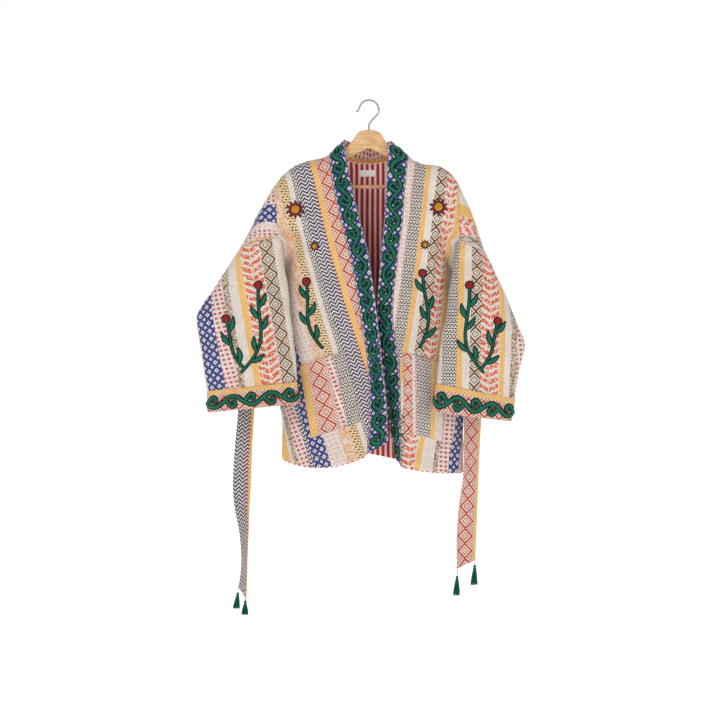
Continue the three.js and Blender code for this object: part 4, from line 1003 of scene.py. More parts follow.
CUFF_STRIPES = [("yellow", 0), ("lattice", 11), (None, 56)]
BAND_STRIPES = [("blue", -4), (None, 60)]
BAND_INSIDE = [("gold_dots", -4), ("red_dashes", 12), (None, 60)]
BELT_LEFT = [("zigzag", 0), ("maroon_zigzag", 31), ("yellow", 40), (None, 48)]
BELT_RIGHT = [("lattice", 0), ("yellow", 41), (None, 48)]

lining = striped_lining("lining_stripes")
green_thread = thread_material("green_thread", (0, 58, 44), (4, 124, 94), sheen=0.1)
black_thread = thread_material("black_thread", (3, 4, 5), (24, 26, 28), 0.7, 0.02)
red_thread = thread_material("red_thread", (84, 4, 10), (164, 18, 26))
gold_thread = thread_material("gold_thread", (138, 92, 8), (206, 154, 36))
pale_thread = thread_material("pale_thread", (176, 160, 138), (240, 232, 216))
wine_thread = thread_material("wine_thread", (82, 6, 22), (142, 20, 40))


# The flat coordinates of each piece, turned the way its stripes run
def turned_flat(patch, across, down, drift=None):
    x, z = patch.flat[..., 0], patch.flat[..., 1]
    u = across * x + down * z
    if drift is not None:
        u = u + np.interp(z, *drift)
    v = -down * x + across * z
    return np.stack([u, v], -1)


LEFT_DRIFT = ([-831, -483, -363, -195], [0.7, 4.8, 1.8, -10.6])
RIGHT_DRIFT = ([-850, -640, -483, -195], [28, 8, 0, 0])
TURNS = {
    ("left", "front"): (0.956, 0.292, LEFT_DRIFT),
    ("right", "front"): (0.993, -0.115, RIGHT_DRIFT),
    ("left", "sleeve"): (0.985, 0.174, None),
    ("right", "sleeve"): (0.998, -0.03, None),
}
for (side, name), (across, down, drift) in TURNS.items():
    patches[side][name].flat = turned_flat(patches[side][name], across, down, drift)
OVER_SHOULDER = 28  # what the way over the ridge adds to a head's length
CUFF_FLAT = 52  # the cuff's height, as its stripes count it
HEAD_SLOPES = {"left": (0.25, -221), "right": (-0.6, 211)}
for side in SIDES:
    for name in ("front_head", "back_head"):
        patch = patches[side][name]
        slope, middle = HEAD_SLOPES[side]
        step = np.diff(patch.grid, axis=0, prepend=patch.grid[:1])
        fall = np.cumsum(np.hypot(step[..., 1], step[..., 2]), axis=0) - patch.grid[:1, :, 2]
        fall = fall - OVER_SHOULDER + slope * (patch.grid[..., 0] - middle)
        patch.flat = np.stack([fall, patch.flat[..., 0]], -1)
    cuff = patches[side]["cuff"]
    down = np.linspace(0, 1, len(cuff.grid))[:, None] * CUFF_FLAT
    cuff.flat = np.stack([np.broadcast_to(down, cuff.flat.shape[:2]), cuff.flat[..., 0]], -1)

STRIPES = {
    "left_front": LEFT_FRONT, "right_front": RIGHT_FRONT, "left_sleeve": LEFT_SLEEVE,
    "right_sleeve": RIGHT_SLEEVE, "left_head": LEFT_HEAD, "right_head": RIGHT_HEAD,
    "left_pocket": LEFT_POCKET, "right_pocket": RIGHT_POCKET, "back": BACK_STRIPES,
    "cuff": CUFF_STRIPES, "band": BAND_STRIPES, "band_inside": BAND_INSIDE,
    "belt_left": BELT_LEFT, "belt_right": BELT_RIGHT,
}
materials = {name: cloth_material(name + "_cloth", rows) for name, rows in STRIPES.items()}


def finished(piece, slot, *replaced):
    """Puts a piece on the garment, in the place of its solid."""
    if replaced:
        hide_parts(*replaced)
    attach(piece, "root")
    return piece


def low_edge(side, which):
    """Whether points lie on the hem of a panel."""
    z = patches[side][which].grid[-1, :, 2].max()
    return lambda points: points[:, 2] < z + 1.5


HEM_DROP = 2.2
walls = {}
for side in SIDES:
    own = patches[side]
    walls["front_" + side] = Wall(
        "front_" + side + "_cloth", [own["front"]], 0, CLOTH,
        [materials[side + "_front"], lining], low_edge(side, "front"), HEM_DROP,
    )
    walls["sleeve_head_" + side] = Wall(
        "sleeve_head_" + side + "_cloth", [own["front_head"], own["back_head"]], 0, CLOTH,
        [materials[side + "_head"], lining],
    )
    walls["sleeve_" + side] = Wall(
        "sleeve_" + side + "_cloth", [own["sleeve"]], 0, CLOTH, [materials[side + "_sleeve"], lining],
    )
    walls["cuff_" + side] = Wall(
        "cuff_" + side + "_cloth", [own["cuff"]], 0, DOUBLE, [materials["cuff"], lining],
    )
walls["back"] = Wall(
    "back_cloth", [patches[side]["back"] for side in SIDES], 0, CLOTH,
    [materials["back"], lining], low_edge("left", "back"), HEM_DROP,
)
walls["neck_band"] = Wall(
    "neck_band_cloth", [patches[side]["band"] for side in SIDES], 0, DOUBLE,
    [materials["band"], materials["band_inside"]],
)
SLOTS = {"cuff_left": "cuff_cloth", "cuff_right": "cuff_cloth", "neck_band": "band_cloth"}
for name, wall in walls.items():
    finished(wall.piece, SLOTS.get(name, "striped_cloth"), name)

# Flat pieces sewn on a panel, by their corners as seen from the front
POCKETS = {
    "left": [(-167, -641), (-58, -608), (-20, -774), (-138, -814)],
    "right": [(80, -608), (182, -637), (175, -822), (85, -801)],
}
LABEL = [(-23, -162), (17, -162), (17, -178), (-23, -178)]
POCKET_GRID = (34, 52)  # faces across and down
POCKET_LIFT = 0.35
POCKET_THICK = 1.9
POCKET_PUFF = 1.5
POCKET_MOUTH = 2.2  # how far a pocket's mouth stands off


def between(corners, s, t):
    a, b, c, d = (np.array(corner, float) for corner in corners)
    s, t = s[..., None], t[..., None]
    return mix(mix(a, b, s), mix(d, c, s), t)


def sewn_patch(corners, across, down, seen, lift, puff=0.0, mouth=0.0):
    t, s = np.meshgrid(np.linspace(0, 1, down + 1), np.linspace(0, 1, across + 1), indexing="ij")
    flat = between(corners, s, t)
    height = lift + puff * (np.sin(math.pi * s) * np.sin(math.pi * t)) ** 0.5
    height = height + mouth * np.sin(math.pi * s) * (1 - t) ** 8
    grid = seen(flat[..., 0], flat[..., 1], height)
    wide = np.linalg.norm(np.subtract(corners[1], corners[0]))
    high = np.linalg.norm(np.subtract(corners[3], corners[0]))
    patch = Patch(grid, True, np.stack([s * wide, -t * high], -1))
    patch.normals = grid_normals(patch)
    return patch


pocket_patches = {}
for side in SIDES:
    seen = walls["front_" + side].seen
    patch = sewn_patch(POCKETS[side], *POCKET_GRID, seen, POCKET_LIFT, POCKET_PUFF, POCKET_MOUTH)
    pocket_patches[side] = patch
    faces = [materials[side + "_pocket"], lining]
    wall = Wall("pocket_" + side + "_cloth", [patch], 0, POCKET_THICK, faces)
    walls["pocket_" + side] = wall
    finished(wall.piece, "striped_cloth", "pocket_" + side)

# The lining of the back, which shows inside the neck and below the fronts
LINING_TOP = BACK_CENTRE * PER_SECTION


def lining_patch(side):
    whole = patches[side]["back"]
    part = (slice(LINING_TOP, None), slice(0, BODY_ACROSS // 2 + 1))
    patch = Patch(whole.grid[part], whole.flip, whole.flat[part])
    patch.normals = whole.normals[part]
    return patch


walls["back_lining"] = Wall(
    "back_lining_cloth", [lining_patch(side) for side in SIDES], -1.3, -0.3, [lining, lining]
)
finished(walls["back_lining"].piece, "lining", "back_lining")
label_material, tree, shader = new_material("label_tape", 0.8, sheen=0.2)
across, along = flat_coordinates(tree)
weave = across.wave(0.7) * 0.5 + along.wave(0.9) * 0.5
# the tape's colour follows its weave: painted highlight on the raised threads and painted shade between
# them
colour = shades(tree, weave, (0.1, (246, 242, 234)), (0.9, (254, 252, 248)))
tree.links.new(colour, shader.inputs["Base Color"])
bump(tree, shader, weave, 0.4, 0.0002)
patch = sewn_patch(LABEL, 16, 8, walls["back_lining"].seen, -1.35, -0.5)
walls["label"] = Wall("label_tape", [patch], 0, 0.7, [label_material])
finished(walls["label"].piece, "label", "label")


# Strips: the belt's two lengths, joined behind the back, and its loops
BELT_WIDTH = 48
BELT_COLUMNS = "x y z yaw tip slant"
BELT = {
    "left": table(BELT_COLUMNS, [
        [-308, 22, -526, 60, 88, 0],
        [-306, 6, -546, 50, 60, 0],
        [-303, -2, -572, 30, 28, 0],
        [-300, -6, -610, 18, 6, 0],
        [-298, -6, -670, 34, 0, 0],
        [-297, -6, -747, 41, 0, 0],
        [-303, -6, -830, 36, 0, 0],
        [-307, -6, -920, 29, 0, 0],
        [-307, -6, -978, 45, 0, 0],
        [-302, -6, -1040, 67, 0, 0],
        [-301, -6, -1111, 78, 0, 0],
        [-304, -6, -1163, 72, 0, 0],
        [-307, -6, -1190, 70, 0, -34],
    ]),
    "right": table(BELT_COLUMNS, [
        [274, 22, -530, 240, 88, 0],
        [271, 6, -550, 230, 60, 0],
        [266, -2, -576, 210, 28, 0],
        [260, -6, -614, 198, 6, 0],
        [255, -6, -680, 204, 0, 0],
        [251, -6, -767, 206, 0, 0],
        [247, -6, -900, 216, 0, 0],
        [240, -6, -980, 196, 0, 0],
        [236, -6, -1045, 180, 0, 0],
        [235, -6, -1093, 192, 0, 0],
        [235, -6, -1122, 192, 0, -21],
    ]),
}
BELT_LIFT = 2.8
BELT_AT = 5.12
BELT_BOW = 8
BELT_BACK_REACH = 0.96
BELT_THICK = 3
BELT_BULGE = 0.7
TANGENT = 0.02
UP = np.array([0, 0, 1.0])


def unit(v):
    return v / np.maximum(np.linalg.norm(v, axis=-1, keepdims=True), 1e-9)


def back_at(side, u, at):
    u = np.atleast_1d(np.asarray(u, float))
    return back_points(side, np.full(len(u), float(at)), u[:, None])[:, 0]


def back_normal(side, u, at):
    u = np.atleast_1d(np.asarray(u, float))
    normal = unit(np.cross(UP, back_at(side, u + TANGENT, at) - back_at(side, u - TANGENT, at)))
    return np.where(normal[:, 1:2] < 0, -normal, normal)


def belt_behind(side, u, outward=0.0):
    u = np.atleast_1d(np.asarray(u, float))
    height = CLOTH + BELT_LIFT + BELT_THICK / 2 + outward
    points = back_at(side, u, BELT_AT) + back_normal(side, u, BELT_AT) * height
    points[:, 2] = back_at(side, 1.0, BELT_AT)[0, 2] + BELT_BOW * (1 - u**2)
    return points


def softened(values, reach):
    """A moving average along the first axis, with its ends kept."""
    padded = np.concatenate([values[:1]] * reach + [values] + [values[-1:]] * reach)
    total = sum(padded[k:k + len(values)] for k in range(2 * reach + 1)) / (2 * reach + 1)
    total[0], total[-1] = values[0], values[-1]
    return total


def strip_patch(middle, wide, width, slant, columns, bulge=0.0):
    """A strip along its middle line. slant cuts its end."""
    along = unit(np.gradient(middle, axis=0))
    across = unit(wide - along * np.sum(wide * along, axis=1, keepdims=True))
    out = np.cross(along, across)
    s = np.linspace(-1, 1, columns + 1)[None, :, None]
    grid = middle[:, None] + across[:, None] * s * width / 2 + out[:, None] * bulge * (1 - s * s)
    grid = grid + UP * s * slant[:, None, None] / 2
    length = distances(middle)
    flat = np.stack(np.broadcast_arrays((s[..., 0] + 1) * width / 2, length[:, None]), -1)
    patch = Patch(grid, False, flat)
    patch.normals = grid_normals(patch)
    return patch, across


def belt_half(side):
    rows = BELT[side]
    at = np.linspace(0, len(rows["x"]) - 1, 180)
    value = {name: smooth(rows[name][:, None], at)[:, 0] for name in rows}
    yaw, tip = np.radians(value["yaw"]), np.radians(value["tip"])
    tail = np.stack([value["x"], value["y"], value["z"]], -1)
    tail_wide = np.stack([np.cos(yaw) * np.cos(tip), np.sin(yaw) * np.cos(tip), np.sin(tip)], -1)
    behind = belt_behind(side, np.linspace(0, BELT_BACK_REACH, 60))
    middle = softened(np.concatenate([behind, tail]), 3)
    wide = softened(np.concatenate([np.tile(UP, (len(behind), 1)), tail_wide]), 3)
    slant = np.concatenate([np.zeros(len(behind)), value["slant"]])
    patch, across = strip_patch(middle, wide, BELT_WIDTH, slant, 10, BELT_BULGE)
    tail_rows = slice(len(behind) + 30, None)
    front = patch.normals[tail_rows, :, 1].mean() < 0
    rightward = (patch.grid[tail_rows, -1, 0] - patch.grid[tail_rows, 0, 0]).mean() > 0
    if not rightward:
        patch.flat[..., 0] = BELT_WIDTH - patch.flat[..., 0]
    return patch, front, middle[-1], across[-1], value["slant"][-1]


belt_ends = {}
for side in SIDES:
    patch, outer_in_front, *belt_ends[side] = belt_half(side)
    faces = [materials["belt_" + side], materials["belt_right"]]
    walls["belt_" + side] = Wall(
        "belt_" + side + "_cloth", [patch], -1.3, 1.3, faces if outer_in_front else faces[::-1]
    )
    finished(walls["belt_" + side].piece, "belt_cloth", "belt")

LOOP_AT = 0.9
LOOP_WIDTH = 10
LOOP_THICK = 1.6
LOOP_OVER = BELT_WIDTH / 2 + 3
LOOP_FOOT = LOOP_OVER + 9
SECTION_APART = 104
for side in SIDES:
    normal = back_normal(side, LOOP_AT, BELT_AT)[0]
    tangent = np.cross(normal, UP)

    def loop_foot(up):
        at = BELT_AT - up / SECTION_APART
        sewn = back_normal(side, LOOP_AT, at) * (CLOTH + 0.3 + LOOP_THICK / 2)
        return back_at(side, LOOP_AT, at)[0] + sewn[0]

    def loop_over(up):
        outward = (BELT_THICK + LOOP_THICK) / 2 + 0.6
        return belt_behind(side, LOOP_AT, outward)[0] + UP * up

    line = np.array([
        loop_foot(LOOP_FOOT), loop_over(LOOP_OVER), loop_over(-LOOP_OVER), loop_foot(-LOOP_FOOT),
    ])
    at = np.linspace(0, 3, 61)
    middle = np.stack([np.interp(at, np.arange(4), line[:, k]) for k in range(3)], -1)
    middle = softened(softened(middle, 2), 2)
    patch, _ = strip_patch(middle, np.tile(tangent, (len(middle), 1)), LOOP_WIDTH, np.zeros(61), 4, 0.2)
    patch.flat = patch.flat + [-330 + 70 * (side == "right"), 0]
    wall = Wall("belt_loop_" + side + "_cloth", [patch], -0.8, 0.8, [materials["back"]])
    walls["belt_loop_" + side] = wall
    finished(wall.piece, "striped_cloth", "belt_loop_" + side)


# Many grids of points gathered into one piece
class Gathered:
    def __init__(self):
        self.points, self.faces, self.flats, self.kinds, self.total = [], [], [], [], 0

    def add(self, grid, flat, kinds, flip=False):
        """kinds gives the material of each column of faces."""
        rows, columns = grid.shape[:2]
        quads = grid_faces(rows, columns, self.total)
        corners = flat.reshape(-1, 2)[quads - self.total]
        if flip:
            quads, corners = quads[:, ::-1], corners[:, ::-1]
        self.points.append(grid.reshape(-1, 3))
        self.faces.append(quads)
        self.flats.append(corners)
        self.kinds.append(np.tile(kinds, rows - 1))
        self.total += rows * columns

    def tube(self, middle, radii, sides, kind=0, cross=None):
        """A round bar along a line, closed at both ends by its radii."""
        along = unit(np.gradient(middle, axis=0))
        start = np.array([0, 1.0, 0]) if cross is None else np.asarray(cross, float)
        rings, turn = [], start
        for a in along:
            turn = turn - a * np.dot(turn, a)
            turn = turn / max(np.linalg.norm(turn), 1e-9)
            rings.append((turn, np.cross(a, turn)))
        angle = np.linspace(0, 2 * math.pi, sides + 1)
        first = np.array([ring[0] for ring in rings])[:, None]
        second = np.array([ring[1] for ring in rings])[:, None]
        wide = np.asarray(radii, float).reshape(-1, 1, 1)
        cosine, sine = (turned(angle)[None, :, None] for turned in (np.cos, np.sin))
        grid = middle[:, None] + wide * (first * cosine + second * sine)
        length = distances(middle)
        mean = float(np.mean(radii))
        flat = np.stack(np.broadcast_arrays(angle[None] * mean, length[:, None]), -1)
        self.add(grid, flat, np.full(sides, kind), flip=True)

    def piece(self, name, materials, smooth_angle=60):
        points, faces = np.concatenate(self.points), np.concatenate(self.faces)
        flats, kinds = np.concatenate(self.flats), np.concatenate(self.kinds)
        places = np.round(points / 0.001).astype(np.int64)
        _, first, index = np.unique(places, axis=0, return_index=True, return_inverse=True)
        faces = index.reshape(-1)[faces]
        points = points[first]
        polygons, corners, slots = [], [], []
        for face, flat, kind in zip(faces, flats, kinds):
            keep = [n for n in range(4) if face[n] != face[(n + 1) % 4]]
            if len(keep) > 2:
                polygons.append([face[n] for n in keep])
                corners.extend(flat[n] for n in keep)
                slots.append(int(kind))
        made = new_object(name, points, polygons, materials, smooth_angle)
        set_uv(made.data, corners)
        made.data.polygons.foreach_set("material_index", slots)
        return made


# Padded stitching: a domed core between two outline cords. Each row is a point out from
# the middle, at a share of the core's half width and some millimetres past it.
PROFILE = table("share past height", [
    [0, 0, 3.7],
    [0.4, 0, 3.5],
    [0.72, 0, 2.8],
    [0.95, 0, 1.6],
    [1, 0.15, 0.9],
    [1, 0.8, 1.7],
    [1, 1.7, 1.7],
    [1, 2.4, 0.9],
    [1, 2.5, -0.4],
])
CORE_FACES = 4
STROKE_KINDS = np.array([1] * CORE_FACES + [0] * 2 * CORE_FACES + [1] * CORE_FACES)
CAP_TURNS = np.radians([90, 62, 32])


def stroke(gathered, path, half, place, kinds=STROKE_KINDS, scale=1.0):
    """Stitches a stroke along a flat path. half is the core's half width along it."""
    half = np.broadcast_to(half, len(path)).astype(float)
    tangent = unit(np.gradient(path, axis=0))
    side = np.stack([-tangent[:, 1], tangent[:, 0]], -1)
    offset = half[:, None] * PROFILE["share"] + scale * PROFILE["past"]
    offset = np.concatenate([-offset[:, :0:-1], offset], axis=1)
    height = np.concatenate([PROFILE["height"][:0:-1], PROFILE["height"]]) * scale
    flat = path[:, None] + side[:, None] * offset[..., None]
    length = distances(path)
    uv = np.stack(np.broadcast_arrays(offset, length[:, None]), -1)

    def cap(at, ahead):
        rows, marks = [], []
        for turn in CAP_TURNS if ahead < 0 else CAP_TURNS[::-1]:
            forward = ahead * np.abs(offset[at]) * math.sin(turn)
            sideways = side[at] * (offset[at] * math.cos(turn))[:, None]
            rows.append(path[at] + sideways + tangent[at] * forward[:, None])
            marks.append(np.stack([offset[at] * math.cos(turn), length[at] + forward], -1))
        return np.array(rows), np.array(marks)

    first, last = cap(0, -1), cap(-1, 1)
    flat = np.concatenate([first[0], flat, last[0]])
    uv = np.concatenate([first[1], uv, last[1]])
    grid = place(flat[..., 0], flat[..., 1], np.broadcast_to(height, flat.shape[:2]))
    middle = len(grid) // 2, grid.shape[1] // 2
    below = middle[0] + 1
    facing = np.cross(grid[below, middle[1] + 1] - grid[middle], grid[below, middle[1]] - grid[middle])
    up = grid[middle] - grid[middle[0], [0, -1]].mean(axis=0)
    gathered.add(grid, uv, kinds, flip=bool(np.dot(facing, up) > 0))


DOME = table("past height", [[2.4, -0.4], [2.3, 0.9], [1.6, 1.7], [0.7, 1.7], [0.1, 0.9]])
DOME_CORE = table("share height", [[0.97, 1.7], [0.86, 2.9], [0.64, 3.9], [0.34, 4.4], [0, 4.5]])


def dome(gathered, x, z, radius, place, core=2, scale=1.0):
    """A round padded spot with an outline cord."""
    angle = np.linspace(0, 2 * math.pi, 29)
    reach = np.concatenate([radius + scale * DOME["past"], radius * DOME_CORE["share"]])
    height = np.concatenate([DOME["height"], DOME_CORE["height"]]) * scale
    px = x + reach[None] * np.cos(angle)[:, None]
    pz = z + reach[None] * np.sin(angle)[:, None]
    px[-1], pz[-1] = px[0], pz[0]
    grid = place(px, pz, np.broadcast_to(height, px.shape))
    uv = np.stack(np.broadcast_arrays(reach[None], angle[:, None] * radius), -1)
    kinds = np.array([1] * len(DOME["past"]) + [core] * (len(DOME_CORE["share"]) - 1))
    facing = np.cross(grid[1, 4] - grid[0, 4], grid[0, 5] - grid[0, 4])
    up = grid[0, -1] - grid[:, 0].mean(axis=0)
    gathered.add(grid, uv, kinds, flip=bool(np.dot(facing, up) < 0))


def on_patch(patch, row, column, height):
    rows, columns = patch.grid.shape[:2]
    i = np.clip(np.floor(row).astype(int), 0, rows - 2)
    j = np.clip(np.floor(column).astype(int), 0, columns - 2)
    p, q = (row - i)[..., None], (column - j)[..., None]

    def blend(values):
        above = mix(values[i, j], values[i, j + 1], q)
        return mix(above, mix(values[i + 1, j], values[i + 1, j + 1], q), p)

    return blend(patch.grid) + unit(blend(patch.normals)) * np.asarray(height)[..., None]


# The running scroll: a wave with a curl in each hollow
STROKE = 9.5
CORE_HALF = 3.4
WAVE = 86
SWING = 11
WAVE_STEPS = 26
CURL_TURNS = 4
CURL_FINE = 6
CURL_RADIUS = 8.5
CURL_CENTRE = 4.5
CURL_ROOT = 0.19
CURL_FROM = 0.02
CURL_TURN = 1.5
CURL_OPEN = 1.25
CURL_CLOSE = 0.42
RING_GAP = 0.1


def scroll(gathered, waves, length, closed, place):
    wave = length / waves
    t = np.linspace(0, waves - RING_GAP if closed else waves, waves * WAVE_STEPS + 1)
    stem = np.stack([t * wave, SWING * np.sin(2 * math.pi * t)], -1)
    stroke(gathered, stem, CORE_HALF, place)
    for k, t in enumerate(np.linspace(0.25, waves - 0.25, 2 * waves)):
        side = 1 if k % 2 else -1
        root = [(t - CURL_ROOT) * wave, -side * SWING * math.cos(2 * math.pi * CURL_ROOT)]
        turn = np.linspace(0, 1, CURL_TURNS + 1)
        angle = math.pi * (1 + side * (CURL_FROM + CURL_TURN * turn))
        radius = CURL_RADIUS * mix(CURL_OPEN, CURL_CLOSE, turn)
        height = side * CURL_CENTRE - radius * np.sin(angle)
        curl = np.stack([t * wave + radius * np.cos(angle), height], -1)
        points = np.concatenate([[root], curl])
        path = smooth(points, np.linspace(0, len(points) - 1, (len(points) - 1) * CURL_FINE + 1))
        stroke(gathered, path, CORE_HALF * np.linspace(1, 0.72, len(path)), place)


RIDGE = 9 * PER_SECTION
CUFF_SCROLL_AT = 0.58
for side in SIDES:
    band, cuff = patches[side]["band"], patches[side]["cuff"]
    reach = distances(band.grid[: RIDGE + 1, BAND_ACROSS // 2])
    length = reach[-1] - STROKE
    width = np.linalg.norm(band.grid[4 * PER_SECTION, 0] - band.grid[4 * PER_SECTION, -1])

    def on_band(along, across, height):
        row = np.interp(along + STROKE / 2, reach, np.arange(len(reach)))
        return on_patch(band, row, BAND_ACROSS * (0.5 + across / width), DOUBLE + height)

    gathered = Gathered()
    scroll(gathered, round(length / WAVE), length, False, on_band)
    piece = gathered.piece("scroll_band_" + side + "_stitching", [green_thread, black_thread])
    finished(piece, "green_embroidery", "scroll_band_" + side)

    girth = distances(cuff.grid[CUFF_DOWN // 2])
    high = np.linalg.norm(cuff.grid[0, 0] - cuff.grid[-1, 0])

    def on_cuff(along, across, height):
        column = np.interp(np.mod(along, girth[-1]), girth, np.arange(len(girth)))
        return on_patch(cuff, CUFF_DOWN * (CUFF_SCROLL_AT + across / high), column, DOUBLE + height)

    gathered = Gathered()
    scroll(gathered, round(girth[-1] / WAVE), girth[-1], True, on_cuff)
    piece = gathered.piece("scroll_cuff_" + side + "_stitching", [green_thread, black_thread])
    finished(piece, "green_embroidery", "scroll_cuff_" + side)

# Sprigs: a bowed stem with leaves by turns on each side and a round flower on top
# Each row is footX, footZ, topX, topZ, bow and leaves.
SPRIGS = {
    "sleeve_left": [[-300, -655, -262, -450, -26, 5], [-294, -648, -338, -530, 10, 3]],
    "front_left": [[-112, -598, -150, -440, 16, 4]],
    "front_right": [[122, -596, 128, -420, -16, 4]],
    "sleeve_right": [[268, -655, 238, -450, 26, 5], [264, -648, 304, -536, -8, 3]],
}
STEM_STEPS = 8
STEM_HALF = 1.7
LEAF_LENGTH = 36
LEAF_TIP = 0.3
LEAF_BELLY = 4.3
LEAF_FULLNESS = 1.15
LEAF_SPREAD = 0.8
LEAF_CURVE = 0.3
LEAVES_FROM = 0.14
LEAVES_TO = 0.86
FLOWER_RADIUS = 8.5
STEM_WAG = 0.3


def stem_points(foot_x, foot_z, top_x, top_z, bow, count):
    t = np.linspace(0, 1, count + 1)
    length = math.hypot(top_x - foot_x, top_z - foot_z)
    normal = np.array([-(top_z - foot_z), top_x - foot_x]) / length
    off = bow * (np.sin(math.pi * t) + STEM_WAG * np.sin(2 * math.pi * t))
    straight = np.stack([mix(foot_x, top_x, t), mix(foot_z, top_z, t)], -1)
    return straight + off[:, None] * normal


def sprig(gathered, foot_x, foot_z, top_x, top_z, bow, leaves, place):
    stem = stem_points(foot_x, foot_z, top_x, top_z, bow, STEM_STEPS)
    fine = stem_points(foot_x, foot_z, top_x, top_z, bow, STEM_STEPS * 6)
    for k, t in enumerate(np.linspace(LEAVES_FROM, LEAVES_TO, leaves)):
        side = 1 if k % 2 else -1
        at = min(int(t * STEM_STEPS), STEM_STEPS - 1)
        ahead = stem[at + 1] - stem[at]
        heading = math.atan2(ahead[1], ahead[0]) + side * LEAF_SPREAD
        along = np.linspace(0, 1, 15)
        turn = heading - side * LEAF_CURVE * along
        path = stem[at] + LEAF_LENGTH * along[:, None] * np.stack([np.cos(turn), np.sin(turn)], -1)
        half = LEAF_TIP + LEAF_BELLY * np.sin(math.pi * along) ** LEAF_FULLNESS
        stroke(gathered, path, half, place)
    stroke(gathered, fine, STEM_HALF, place)
    dome(gathered, *fine[-1], FLOWER_RADIUS, place)


for name, rows in SPRIGS.items():
    gathered = Gathered()
    kind, side = name.split("_")
    for row in rows:
        sprig(gathered, *row, walls[kind + "_" + side].seen)
    piece = gathered.piece("sprig_" + name + "_stitching", [green_thread, black_thread, red_thread])
    finished(piece, "green_embroidery", "sprig_" + name)

# Rosettes: a gold dome among short pointed petals
ROSETTES = [
    ("left_large", -176, -268, 23),
    ("left_small", -130, -356, 13),
    ("right_large", 166, -262, 23),
    ("right_small", 134, -352, 13),
]
PETALS = 10
for name, x, z, radius in ROSETTES:
    gathered = Gathered()
    place = walls["front_" + name.split("_")[0]].seen
    share = radius / 23
    for k in range(PETALS):
        turn = 2 * math.pi * (k + 0.5) / PETALS
        reach = np.linspace(0.3, 0.9, 9)
        path = np.array([x, z]) + radius * reach[:, None] * np.array([math.cos(turn), math.sin(turn)])
        half = share * (0.5 + 2.5 * np.sin(math.pi * np.linspace(0.25, 1, 9)))
        stroke(gathered, path, half, place, scale=0.55 * share)
    dome(gathered, x, z, radius * 0.44, place, scale=0.4 + 0.6 * share)
    piece = gathered.piece("rosette_" + name + "_stitching", [wine_thread, black_thread, gold_thread])
    finished(piece, "gold_embroidery", "rosette_" + name)

# Topstitching along hems, pockets, cuffs, band and sleeve seams
STITCH = 3.4
STITCH_PITCH = 5.0
STITCH_RADIUS = 0.42
STITCH_LIFT = 0.5


def stitch_line(gathered, patch, rows, columns, height):
    """Stitches on a patch along a line of rows and columns, laid at an even pitch."""
    rows, columns = np.broadcast_arrays(np.asarray(rows, float), np.asarray(columns, float))
    line = on_patch(patch, rows, columns, height)
    reach = distances(line)
    for start in np.arange(STITCH_PITCH / 2, reach[-1] - STITCH, STITCH_PITCH):
        along = start + STITCH * np.array([0, 0.12, 0.5, 0.88, 1])
        places = [np.interp(along, reach, values) for values in (rows, columns)]
        middle = on_patch(patch, *places, height - 0.15)
        gathered.tube(middle, STITCH_RADIUS * np.array([0.05, 0.8, 1, 0.8, 0.05]), 5)


gathered = Gathered()
over = np.linspace(0, 1, 120)
for side in SIDES:
    own = patches[side]
    for which in ("front", "back"):
        rows, columns = own[which].grid.shape[:2]
        stitch_line(gathered, own[which], rows - 1 - 2.6, over * (columns - 1), CLOTH + STITCH_LIFT)
    rows, columns = own["cuff"].grid.shape[:2]
    for row in (0.5, rows - 1.6):
        stitch_line(gathered, own["cuff"], row, over * (columns - 1), DOUBLE + STITCH_LIFT)
    columns = own["sleeve"].grid.shape[1]
    stitch_line(gathered, own["sleeve"], 0.8, over * (columns - 1), CLOTH + STITCH_LIFT)
    for column in (0.5, BAND_ACROSS - 0.5):
        stitch_line(gathered, own["band"], over * RIDGE, column, DOUBLE + STITCH_LIFT)
    across, down = POCKET_GRID
    pocket = pocket_patches[side]
    for rows, columns in (
        (over * (down - 1) + 0.5, 0.8), (over * (down - 1) + 0.5, across - 0.8),
        (down - 0.9, over * (across - 2) + 1), (6, over * (across - 2) + 1),
    ):
        stitch_line(gathered, pocket, rows, columns, POCKET_THICK + STITCH_LIFT)
finished(gathered.piece("topstitching", [pale_thread]), "striped_cloth")

